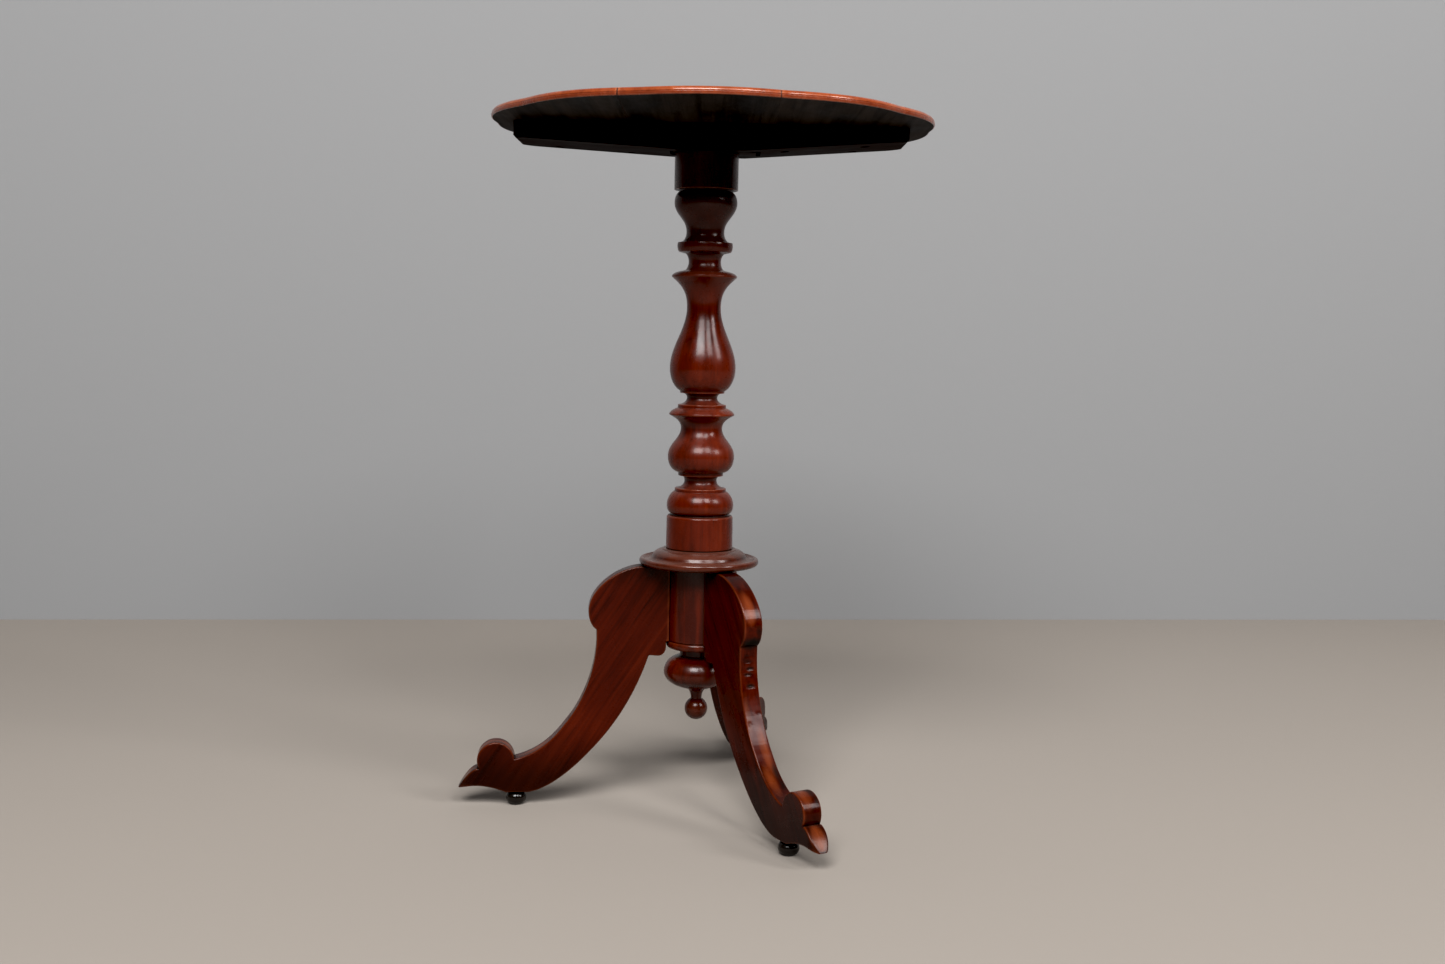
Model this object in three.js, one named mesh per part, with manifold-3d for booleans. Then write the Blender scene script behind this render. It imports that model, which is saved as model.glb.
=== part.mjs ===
// Tilt-top pedestal table: a lobed round top that tips up on a turned pillar with three scroll legs.
// Units are millimetres. +Z is up and the floor is z = 0. The pillar's axis is the local z axis of
// the inner group, and the outer group moves it so that the footprint's middle is the origin.
import * as THREE from "three";
import { mergeVertices } from "three/addons/utils/BufferGeometryUtils.js";
import Module from "manifold-3d";

// ---------------------------------------------------------------- driving dimensions
const HEIGHT = 711;
const GAP = 0.3; // room kept between two pieces that touch
const COLUMN_X = 10.5; // pillar axis, from the middle of the footprint
const COLUMN_Y = -6.5;

// top
const TOP_THICK = 7.6;
const TOP_X = 6; // middle of the top, from the pillar axis
const TOP_RADIUS = 225; // out to the crown of a lobe
const LOBES = 10;
const LOBE_DEPTH = 4.4;
const LOBE_SOFTNESS = 0.025;
const BOARD_JOINTS = [-78, 68]; // glue lines between the three boards
const TOP_UNDERSIDE = HEIGHT - TOP_THICK;

// bearer, the tapered plank under the top
const BEARER_X = 4.5; // middle of the bearer, from the pillar axis
const BEARER_HALF_LENGTH = 200;
const BEARER_WIDTH = 72;
const BEARER_THICK = 26;
const BEARER_LEFT_THICK = 17;
const BEARER_RIGHT_THICK = 13.6;
const BEARER_FLAT = 35; // half length of the untapered middle
const BEARER_CORNER = 20; // plan corner radius
const BEARER_TOP = TOP_UNDERSIDE - GAP;
const BEARER_BOTTOM = BEARER_TOP - BEARER_THICK;
const SCREW_SPOTS = [[-153, 27], [-78, 29], [79, -6], [160, -11], [150, 27]];

// tilt pivot and the block on the pillar's head
const PIVOT_X = 42.5;
const PIVOT_Z = BEARER_BOTTOM + 8;
const ROD_RADIUS = 3.5;
const ROD_HALF_LENGTH = 29;
const MORTISE_WIDTH = 30;
const MORTISE_LEFT = -37.5;
const MORTISE_RIGHT = PIVOT_X + 12;
const BLOCK_LEFT = -33;
const BLOCK_RIGHT = PIVOT_X + 7.5;
const BLOCK_WIDTH = MORTISE_WIDTH - 2 * GAP;
const BLOCK_BOTTOM = BEARER_BOTTOM;
const BLOCK_TOP = TOP_UNDERSIDE - 2 * GAP;
const BLOCK_NOSE = 17.4; // radius of the nose about the pivot

// pillar
const PILLAR_TOP = BLOCK_BOTTOM - GAP;
const PILLAR_FOOT = 271.8;
const HEAD_RADIUS = 32.65;
const BASE_RADIUS = 34.7;
const TOP_TENON = 13;
const FOOT_TENON = 14;
const FOOT_TENON_END = 200.3;

// collar, hub and finial
const COLLAR_BOTTOM = 253.4;
const HUB_TOP = COLLAR_BOTTOM - GAP;
const HUB_BOTTOM = 166.5;
const HUB_RING_TOP = 174.2;
const HUB_RADIUS = 31.4;
const FINIAL_TENON = 8;
const FINIAL_TENON_END = 189.7;

// legs and feet
const LEG_THICK = 20.5;
const LEG_AZIMUTHS = { left: 186, front: -60, back: 72 };
const FOOT_REACH = 187.5; // foot centre, out from the pillar axis
const FOOT_PEG = 3;
const FOOT_PEG_TOP = 38;
const PAD_HEIGHT = 14.2; // underside of the leg over its foot
const DOWEL_RADIUS = 4;
const DOWEL_SPAN = [18, 57];
const DOWEL_HEIGHTS = [190, 227];

// catch, in a recess that is closed below; its knob comes out at the bearer's back
const CATCH_X = -50; // middle of the catch
const CATCH_LENGTH = 24;
const CATCH_SCREW_X = CATCH_X - 9;
const CATCH_SCREW_SPOTS = [-11.5, 11.5];
const CATCH_RECESS_LEFT = -65;
const CATCH_RECESS_FLOOR = 8; // wood left under the recess, at the bearer's middle
const CATCH_TRAVEL = 8;
const STEM_RADIUS = 1.7;
const BOLT_LENGTH = 26;
const BOLT_WIDTH = 12;
const BOLT_HEIGHT = 4.4;
const BOLT_Z = TOP_UNDERSIDE - 4.1; // middle of the bolt
const STEM_X = CATCH_X - 1; // middle of the bolt, drawn back clear of the block
const KEEPER_THICK = 1.4;

// ---------------------------------------------------------------- materials
const wood = (color, roughness) => new THREE.MeshStandardMaterial({ color, roughness, metalness: 0 });
const metal = (color, roughness) => new THREE.MeshStandardMaterial({ color, roughness, metalness: 1 });
const MAHOGANY = wood(0x5c1d12, 0.32);
const TOP_WOOD = wood(0x7a2a14, 0.4);
const DARK_WOOD = wood(0x2a1710, 0.6);
const BLOCK_WOOD = wood(0x6d4a30, 0.6);
const EBONISED = wood(0x0c0a09, 0.3);
const BRASS = metal(0x9c7a3c, 0.4);
const IRON = metal(0x3a3633, 0.5);

// ---------------------------------------------------------------- solid helpers
const wasm = await Module();
wasm.setup();

function toSolid(geometry) {
  const bare = geometry.clone();
  bare.deleteAttribute("normal");
  bare.deleteAttribute("uv");
  const merged = mergeVertices(bare, 1e-4);
  return new wasm.Manifold(new wasm.Mesh({
    numProp: 3,
    vertProperties: new Float32Array(merged.attributes.position.array),
    triVerts: new Uint32Array(merged.index.array),
  }));
}

function toGeometry(solid) {
  const mesh = solid.getMesh();
  const geometry = new THREE.BufferGeometry();
  geometry.setAttribute("position", new THREE.BufferAttribute(new Float32Array(mesh.vertProperties), 3));
  geometry.setIndex(new THREE.BufferAttribute(new Uint32Array(mesh.triVerts), 1));
  geometry.computeVertexNormals();
  return geometry;
}

// The first geometry with all the others cut out of it.
function cut(geometry, ...tools) {
  let solid = toSolid(geometry);
  for (const tool of tools) {
    solid = solid.subtract(toSolid(tool));
  }
  return toGeometry(solid);
}

function overlapOf(first, second) {
  return toGeometry(toSolid(first).intersect(toSolid(second)));
}

// A box between two opposite corners.
function boxBetween(low, high) {
  const size = high.map((value, axis) => value - low[axis]);
  const middle = high.map((value, axis) => (value + low[axis]) / 2);
  return new THREE.BoxGeometry(...size).translate(...middle);
}

// A round bar along the z axis through (x, y).
function barZ(radius, x, y, low, high, sides = 20) {
  return new THREE.CylinderGeometry(radius, radius, high - low, sides)
    .rotateX(Math.PI / 2)
    .translate(x, y, (low + high) / 2);
}

// A round bar along the y axis through (x, z).
function barY(radius, x, z, low, high, sides = 20) {
  return new THREE.CylinderGeometry(radius, radius, high - low, sides).translate(x, (low + high) / 2, z);
}

// A round bar along the x axis through (y, z).
function barX(radius, y, z, low, high, sides = 16) {
  return new THREE.CylinderGeometry(radius, radius, high - low, sides)
    .rotateZ(Math.PI / 2)
    .translate((low + high) / 2, y, z);
}

// Turns a path of (radius, height) about the z axis.
function turned(path, sides, smoothness = 5) {
  return new THREE.LatheGeometry(path.getPoints(smoothness), sides).rotateX(Math.PI / 2);
}

// A side profile of (x, z), with its thickness across y and centred on y = 0.
function slab(shape, thickness, smoothness = 6) {
  return new THREE.ExtrudeGeometry(shape, { depth: thickness, bevelEnabled: false, curveSegments: smoothness })
    .rotateX(Math.PI / 2)
    .translate(0, thickness / 2, 0);
}

const table = new THREE.Group();

function add(name, geometry, material, group = table) {
  const mesh = new THREE.Mesh(geometry, material);
  mesh.name = name;
  group.add(mesh);
  return mesh;
}

// ---------------------------------------------------------------- top
// The plan outline: ten shallow convex lobes that meet in soft hollows.
function topOutline() {
  const hollow = Math.sqrt(LOBE_SOFTNESS);
  const crown = Math.sqrt(1 + LOBE_SOFTNESS);
  const count = LOBES * 12;
  const points = [];
  for (let i = 0; i < count; i += 1) {
    const angle = (i / count) * 2 * Math.PI;
    const wave = Math.sqrt(Math.cos((LOBES / 2) * (angle + Math.PI / 2)) ** 2 + LOBE_SOFTNESS);
    const radius = TOP_RADIUS - LOBE_DEPTH * (1 - (wave - hollow) / (crown - hollow));
    points.push(new THREE.Vector2(TOP_X + radius * Math.cos(angle), radius * Math.sin(angle)));
  }
  return new THREE.Shape(points);
}

function screwHolesInTop() {
  const inBearer = SCREW_SPOTS.map(([x, y]) => barZ(2.4, x, y, TOP_UNDERSIDE - 1, HEIGHT - 2, 10));
  const inCatch = CATCH_SCREW_SPOTS.map((y) =>
    barZ(1.5, CATCH_SCREW_X, y, TOP_UNDERSIDE - 1, TOP_UNDERSIDE + 5, 10));
  return [...inBearer, ...inCatch];
}

function makeTop() {
  const disc = new THREE.ExtrudeGeometry(topOutline(), { depth: TOP_THICK, bevelEnabled: false })
    .translate(0, 0, TOP_UNDERSIDE);
  const drilled = cut(disc, ...screwHolesInTop());
  const edges = [-TOP_RADIUS - 10, ...BOARD_JOINTS, TOP_RADIUS + 10];
  ["left", "middle", "right"].forEach((place, i) => {
    const low = [edges[i] + GAP / 2, -TOP_RADIUS - 10, TOP_UNDERSIDE - 5];
    const high = [edges[i + 1] - GAP / 2, TOP_RADIUS + 10, HEIGHT + 5];
    add(`top_board_${place}`, overlapOf(drilled, boxBetween(low, high)), TOP_WOOD);
  });
}

// ---------------------------------------------------------------- bearer
const bearerUnderside = (x) => {
  const run = Math.max(0, Math.abs(x - BEARER_X) - BEARER_FLAT) / (BEARER_HALF_LENGTH - BEARER_FLAT);
  const endThick = x < BEARER_X ? BEARER_LEFT_THICK : BEARER_RIGHT_THICK;
  return BEARER_BOTTOM + run * (BEARER_THICK - endThick);
};

function bearerSide() {
  const left = BEARER_X - BEARER_HALF_LENGTH;
  const right = BEARER_X + BEARER_HALF_LENGTH;
  const chamfer = 4;
  const shape = new THREE.Shape();
  shape.moveTo(left, BEARER_TOP);
  shape.lineTo(left, bearerUnderside(left) + chamfer);
  shape.lineTo(left + chamfer, bearerUnderside(left + chamfer));
  shape.lineTo(BEARER_X - BEARER_FLAT, BEARER_BOTTOM);
  shape.lineTo(BEARER_X + BEARER_FLAT, BEARER_BOTTOM);
  shape.lineTo(right - chamfer, bearerUnderside(right - chamfer));
  shape.lineTo(right, bearerUnderside(right) + chamfer);
  shape.lineTo(right, BEARER_TOP);
  return shape;
}

function bearerPlan() {
  const x = BEARER_HALF_LENGTH;
  const y = BEARER_WIDTH / 2;
  const r = BEARER_CORNER;
  const shape = new THREE.Shape();
  shape.moveTo(-x + r, -y);
  shape.lineTo(x - r, -y);
  shape.absarc(x - r, -y + r, r, -Math.PI / 2, 0);
  shape.absarc(x - r, y - r, r, 0, Math.PI / 2);
  shape.absarc(-x + r, y - r, r, Math.PI / 2, Math.PI);
  shape.absarc(-x + r, -y + r, r, Math.PI, 1.5 * Math.PI);
  return shape;
}

function makeBearer() {
  const plan = new THREE.ExtrudeGeometry(bearerPlan(), { depth: 60, bevelEnabled: false, curveSegments: 5 })
    .translate(BEARER_X, 0, BEARER_BOTTOM - 20);
  const plank = overlapOf(slab(bearerSide(), BEARER_WIDTH + 20), plan);
  const half = BEARER_WIDTH / 2;
  const mortise = boxBetween(
    [MORTISE_LEFT, -MORTISE_WIDTH / 2, BEARER_BOTTOM - 5],
    [MORTISE_RIGHT, MORTISE_WIDTH / 2, BEARER_TOP + 5],
  );
  const catchRecess = boxBetween(
    [CATCH_RECESS_LEFT, -MORTISE_WIDTH / 2, BEARER_BOTTOM + CATCH_RECESS_FLOOR],
    [MORTISE_LEFT + 1, MORTISE_WIDTH / 2, BEARER_TOP + 5],
  );
  const stemSlot = boxBetween(
    [STEM_X - STEM_RADIUS - 0.6, MORTISE_WIDTH / 2 - 1, BOLT_Z - STEM_RADIUS - 0.5],
    [STEM_X + CATCH_TRAVEL + STEM_RADIUS + 0.6, half + 5, BEARER_TOP + 5],
  );
  const rodHole = barY(ROD_RADIUS + 0.5, PIVOT_X, PIVOT_Z, -half - 5, half + 5, 24);
  const counterbores = SCREW_SPOTS.map(([x, y]) => barZ(4.8, x, y, BEARER_BOTTOM - 5, bearerUnderside(x) + 6, 14));
  const shankHoles = SCREW_SPOTS.map(([x, y]) => barZ(2.5, x, y, BEARER_BOTTOM - 5, BEARER_TOP + 5, 10));
  add("bearer", cut(plank, mortise, catchRecess, stemSlot, rodHole, ...counterbores, ...shankHoles), DARK_WOOD);
}

// A slotted wood screw, head down, driven up through the bearer into the top.
function makeBearerScrews() {
  SCREW_SPOTS.forEach(([x, y], i) => {
    const head = bearerUnderside(x) + 2.2;
    const tip = HEIGHT - 3;
    const path = new THREE.Path();
    path.moveTo(0, head);
    path.lineTo(4.1, head);
    path.lineTo(4.1, head + 0.8);
    path.lineTo(2.1, head + 3.2);
    path.lineTo(2.1, tip - 3);
    path.lineTo(0, tip);
    const slot = boxBetween([-0.6, -6, head - 1], [0.6, 6, head + 1.2]).rotateZ(0.6 * i).translate(x, y, 0);
    add(`bearer_screw_${i + 1}`, cut(turned(path, 14).translate(x, y, 0), slot), IRON);
  });
}

// ---------------------------------------------------------------- pivot
function blockSide() {
  const noseStart = Math.PI / 2;
  const noseEnd = Math.acos((BLOCK_RIGHT - PIVOT_X) / BLOCK_NOSE);
  const shape = new THREE.Shape();
  shape.moveTo(BLOCK_LEFT, BLOCK_BOTTOM);
  shape.lineTo(BLOCK_LEFT, BLOCK_TOP - 2);
  shape.lineTo(BLOCK_LEFT + 2, BLOCK_TOP);
  shape.lineTo(PIVOT_X - 4, BLOCK_TOP);
  shape.absarc(PIVOT_X, PIVOT_Z, BLOCK_NOSE, noseStart, noseEnd, true);
  shape.lineTo(BLOCK_RIGHT, BLOCK_BOTTOM);
  return shape;
}

function makePivot() {
  const tenonHole = barZ(TOP_TENON + GAP, 0, 0, BLOCK_BOTTOM - 5, BLOCK_TOP + 5, 28);
  const rodHole = barY(ROD_RADIUS + GAP, PIVOT_X, PIVOT_Z, -20, 20, 24);
  const boltPocket = boxBetween(
    [BLOCK_LEFT - 5, -BOLT_WIDTH / 2 - 1, BOLT_Z - BOLT_HEIGHT / 2 - 0.8],
    [BLOCK_LEFT + 7, BOLT_WIDTH / 2 + 1, BOLT_Z + BOLT_HEIGHT / 2 + 0.4],
  );
  const keeperScrewHoles = [-10, 10].map((y) => barX(1.4, y, BLOCK_BOTTOM + 8, BLOCK_LEFT - 5, BLOCK_LEFT + 11, 10));
  const block = cut(slab(blockSide(), BLOCK_WIDTH), tenonHole, rodHole, boltPocket, ...keeperScrewHoles);
  add("pivot_block", block, BLOCK_WOOD);
  add("pivot_rod", barY(ROD_RADIUS, PIVOT_X, PIVOT_Z, -ROD_HALF_LENGTH, ROD_HALF_LENGTH, 24), IRON);

  const plugInner = ROD_HALF_LENGTH + 1;
  const plugOuter = BEARER_WIDTH / 2;
  add("pivot_plug_front", barY(ROD_RADIUS + 0.2, PIVOT_X, PIVOT_Z, -plugOuter, -plugInner, 24), DARK_WOOD);
  add("pivot_plug_back", barY(ROD_RADIUS + 0.2, PIVOT_X, PIVOT_Z, plugInner, plugOuter, 24), DARK_WOOD);
}

// ---------------------------------------------------------------- pillar
// The turned profile as (radius, height), from the foot tenon up to the head tenon.
function pillarPath() {
  const path = new THREE.Path();
  path.moveTo(0, FOOT_TENON_END);
  path.lineTo(FOOT_TENON, FOOT_TENON_END);
  path.lineTo(FOOT_TENON, PILLAR_FOOT);
  // base drum
  path.lineTo(BASE_RADIUS, PILLAR_FOOT);
  path.lineTo(BASE_RADIUS, 304.8);
  path.lineTo(33.4, 306);
  path.lineTo(29.4, 306.6);
  path.lineTo(29.4, 308);
  // torus and fillet
  path.bezierCurveTo(33.5, 308.5, 35.2, 314, 34.5, 319);
  path.bezierCurveTo(34, 324, 31, 329, 27.2, 331.2);
  path.lineTo(26.6, 331.2);
  path.lineTo(26.6, 334.6);
  // cove and fillet
  path.bezierCurveTo(15, 335, 14.5, 346.5, 20.5, 347.6);
  path.lineTo(23.4, 347.6);
  path.lineTo(23.4, 351);
  // lower bulb, neck and sharp ring
  path.bezierCurveTo(32, 352.5, 34.8, 362, 34.4, 368.7);
  path.bezierCurveTo(33.8, 381, 21.4, 386, 21.4, 396.8);
  path.bezierCurveTo(21.4, 403, 25.5, 406.5, 33.8, 410.6);
  path.lineTo(33.8, 411.9);
  path.bezierCurveTo(31, 416, 28, 416.5, 25, 418);
  path.lineTo(24.9, 421.3);
  // cove and fillet
  path.bezierCurveTo(14, 422.2, 13.2, 432, 20.2, 433.2);
  path.lineTo(23, 433.2);
  path.lineTo(23, 435.4);
  // vase
  path.bezierCurveTo(30, 439, 34, 449, 34, 459);
  path.bezierCurveTo(34, 481, 17.4, 499, 17.4, 520.6);
  path.bezierCurveTo(17.4, 538, 24, 544, 33.5, 552);
  path.lineTo(33.5, 553.5);
  // ring top, neck and disc
  path.bezierCurveTo(30, 558, 24, 557.5, 19.2, 559.4);
  path.bezierCurveTo(15.6, 564.5, 15.6, 571, 19.4, 575.8);
  path.lineTo(26.6, 577.6);
  path.bezierCurveTo(28.6, 579.5, 28.8, 584.5, 28, 587);
  path.lineTo(24, 587.8);
  // upper bulb and groove
  path.bezierCurveTo(18.5, 591, 18, 601, 22, 607.4);
  path.bezierCurveTo(26, 614, 32.2, 619, 32.2, 627.5);
  path.bezierCurveTo(32.2, 632, 30.5, 636.6, 27.6, 638.2);
  path.lineTo(27.6, 640.2);
  // head drum and tenon
  path.lineTo(HEAD_RADIUS - 0.8, 640.2);
  path.lineTo(HEAD_RADIUS, 641);
  path.lineTo(HEAD_RADIUS, PILLAR_TOP);
  path.lineTo(TOP_TENON, PILLAR_TOP);
  path.lineTo(TOP_TENON, BLOCK_TOP - GAP);
  path.lineTo(0, BLOCK_TOP - GAP);
  return path;
}

function makePillar() {
  const wedgeSlot = boxBetween([-1.4, -20, BLOCK_TOP - 17], [1.4, 20, BLOCK_TOP + 5]);
  add("pillar", cut(turned(pillarPath(), 20, 3), wedgeSlot), MAHOGANY);
  const wedge = new THREE.Shape();
  wedge.moveTo(-1.05, BLOCK_TOP - GAP);
  wedge.lineTo(-0.5, BLOCK_TOP - 16);
  wedge.lineTo(0.5, BLOCK_TOP - 16);
  wedge.lineTo(1.05, BLOCK_TOP - GAP);
  add("tenon_wedge", slab(wedge, 24), BLOCK_WOOD);
}

// ---------------------------------------------------------------- collar, hub, finial
function makeCollar() {
  const path = new THREE.Path();
  const hole = FOOT_TENON + GAP;
  const top = PILLAR_FOOT - GAP;
  path.moveTo(hole, COLLAR_BOTTOM);
  path.lineTo(54, COLLAR_BOTTOM);
  path.bezierCurveTo(60.4, 253.8, 62.3, 255.6, 62.2, 258.4);
  path.bezierCurveTo(62.1, 260.8, 60.8, 261.7, 58.8, 261.7);
  path.lineTo(56.6, 260.3);
  path.bezierCurveTo(53, 259.9, 50, 260.8, 48.9, 263.4);
  path.bezierCurveTo(47.9, 267, 44, 269.4, 39, 270.2);
  path.lineTo(37.8, top);
  path.lineTo(hole, top);
  path.lineTo(hole, COLLAR_BOTTOM);
  add("collar", turned(path, 28, 3), MAHOGANY);
}

function dowelHoles(azimuth) {
  return DOWEL_HEIGHTS.map((height) =>
    barX(DOWEL_RADIUS + GAP, 0, height, DOWEL_SPAN[0] - 1, DOWEL_SPAN[1] + 1, 12)
      .rotateZ(THREE.MathUtils.degToRad(azimuth)));
}

function makeHub() {
  const path = new THREE.Path();
  path.moveTo(0, FINIAL_TENON_END + GAP);
  path.lineTo(FINIAL_TENON + GAP, FINIAL_TENON_END + GAP);
  path.lineTo(FINIAL_TENON + GAP, HUB_BOTTOM);
  path.lineTo(29.6, HUB_BOTTOM);
  path.bezierCurveTo(33.6, HUB_BOTTOM + 0.7, 33.4, HUB_RING_TOP - 0.5, HUB_RADIUS - 0.6, HUB_RING_TOP);
  path.lineTo(HUB_RADIUS, HUB_RING_TOP + 1.4);
  path.lineTo(HUB_RADIUS, HUB_TOP);
  path.lineTo(FOOT_TENON + GAP, HUB_TOP);
  path.lineTo(FOOT_TENON + GAP, FOOT_TENON_END - GAP);
  path.lineTo(0, FOOT_TENON_END - GAP);
  const holes = Object.values(LEG_AZIMUTHS).flatMap(dowelHoles);
  add("leg_hub", cut(turned(path, 24, 3), ...holes), MAHOGANY);
}

function makeFinial() {
  const ballRadius = 12;
  const ballHeight = 101.2;
  const neckRadius = 5.7;
  const path = new THREE.Path();
  path.absarc(0, ballHeight, ballRadius, -Math.PI / 2, Math.acos(neckRadius / ballRadius));
  path.bezierCurveTo(5.6, 116, 7, 122, 11.5, 123.4);
  path.bezierCurveTo(20, 124.8, 34.6, 129.8, 34.6, 140.4);
  path.bezierCurveTo(34.6, 149.4, 28, 156.4, 19.4, 157.4);
  path.lineTo(18, 158.4);
  path.lineTo(18, HUB_BOTTOM - GAP);
  path.lineTo(FINIAL_TENON, HUB_BOTTOM - GAP);
  path.lineTo(FINIAL_TENON, FINIAL_TENON_END);
  path.lineTo(0, FINIAL_TENON_END);
  add("drop_finial", turned(path, 20, 4), MAHOGANY);
}

// ---------------------------------------------------------------- legs and feet
// The leg's side profile: (distance out from the pillar axis, height).
function legSide() {
  const shape = new THREE.Shape();
  shape.moveTo(25, HUB_TOP);
  shape.lineTo(60, HUB_TOP);
  // shoulder and the notch under it
  shape.bezierCurveTo(84, 252, 114.6, 229, 114.4, 205.5);
  shape.bezierCurveTo(114.4, 196.5, 110.5, 189, 106, 186.6);
  // outer edge down to the scroll
  shape.bezierCurveTo(103.5, 152, 116, 112, 138.5, 85.6);
  shape.bezierCurveTo(152, 67, 168, 55, 189.4, 49.6);
  shape.absarc(208.7, 48.1, 19.3, THREE.MathUtils.degToRad(175.6), THREE.MathUtils.degToRad(-28), true);
  // toe, and the arch between its tip and the foot
  shape.lineTo(228, 40);
  shape.quadraticCurveTo(237, 37.5, 247.8, 18.5);
  shape.bezierCurveTo(238, 21.5, 222, 24.5, 198, PAD_HEIGHT);
  shape.lineTo(177, PAD_HEIGHT);
  // inner edge up to the heel beside the hub
  shape.bezierCurveTo(158, 15.5, 134, 33, 110.9, 58.1);
  shape.bezierCurveTo(88, 82, 66, 114, 51.3, 159.4);
  shape.lineTo(41, 158.8);
  shape.quadraticCurveTo(34.5, 159.6, 33.4, 167.5);
  shape.lineTo(33.4, HUB_RING_TOP - 0.3);
  shape.lineTo(25, HUB_RING_TOP - 0.3);
  return shape;
}

function makeLegs() {
  const hubClearance = barZ(HUB_RADIUS + GAP, 0, 0, 140, 280, 36);
  const pegHole = barZ(FOOT_PEG + GAP, FOOT_REACH, 0, 0, FOOT_PEG_TOP + 1, 12);
  const leg = cut(slab(legSide(), LEG_THICK, 5), hubClearance, pegHole, ...dowelHoles(0));
  for (const [place, azimuth] of Object.entries(LEG_AZIMUTHS)) {
    const arm = new THREE.Group();
    arm.rotation.z = THREE.MathUtils.degToRad(azimuth);
    table.add(arm);
    add(`leg_${place}`, leg, MAHOGANY, arm);
    add(`foot_${place}`, footGeometry(), EBONISED, arm);
    DOWEL_HEIGHTS.forEach((height, i) => {
      const dowel = barX(DOWEL_RADIUS, 0, height, ...DOWEL_SPAN, 12);
      add(`dowel_${place}_${i === 0 ? "lower" : "upper"}`, dowel, BLOCK_WOOD, arm);
    });
  }
}

// A flattened ball foot with its peg.
function footGeometry() {
  const path = new THREE.Path();
  path.moveTo(0, 0);
  path.lineTo(4, 0);
  path.bezierCurveTo(8.4, 0.2, 10.6, 3.4, 10.6, 7);
  path.bezierCurveTo(10.6, 10.6, 8.2, 13.2, 5, PAD_HEIGHT - GAP);
  path.lineTo(FOOT_PEG, PAD_HEIGHT - GAP);
  path.lineTo(FOOT_PEG, FOOT_PEG_TOP);
  path.lineTo(0, FOOT_PEG_TOP);
  return turned(path, 14, 3).translate(FOOT_REACH, 0, 0);
}

// ---------------------------------------------------------------- catch
// The catch's case seen along x: a flanged tube that the bolt slides in.
function catchSection() {
  const flange = 14;
  const wall = 8.4;
  const inner = BOLT_WIDTH / 2 + GAP;
  const top = TOP_UNDERSIDE - GAP;
  const under = top - 1.4;
  const ceiling = BOLT_Z + BOLT_HEIGHT / 2 + GAP;
  const floor = BOLT_Z - BOLT_HEIGHT / 2 - GAP;
  const lip = floor - 1.4;
  const mirrored = (half) => [...half, ...half.map(([y, z]) => [-y, z]).reverse()];
  const outline = (half) => mirrored(half).map(([y, z]) => new THREE.Vector2(y, z));
  const shape = new THREE.Shape(outline([[flange, top], [flange, under], [wall, under], [wall, lip]]));
  shape.holes.push(new THREE.Path(outline([[inner, floor], [inner, ceiling]])));
  return shape;
}

// A small flat-headed screw along +z from its head, to be placed by the caller.
function smallScrew(length, headRadius = 2.2, shankRadius = 1.2) {
  const path = new THREE.Path();
  path.moveTo(0, 0);
  path.lineTo(headRadius, 0);
  path.lineTo(headRadius, 0.7);
  path.lineTo(shankRadius, 0.7);
  path.lineTo(shankRadius, length - 1.5);
  path.lineTo(0, length);
  return turned(path, 12);
}

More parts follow.
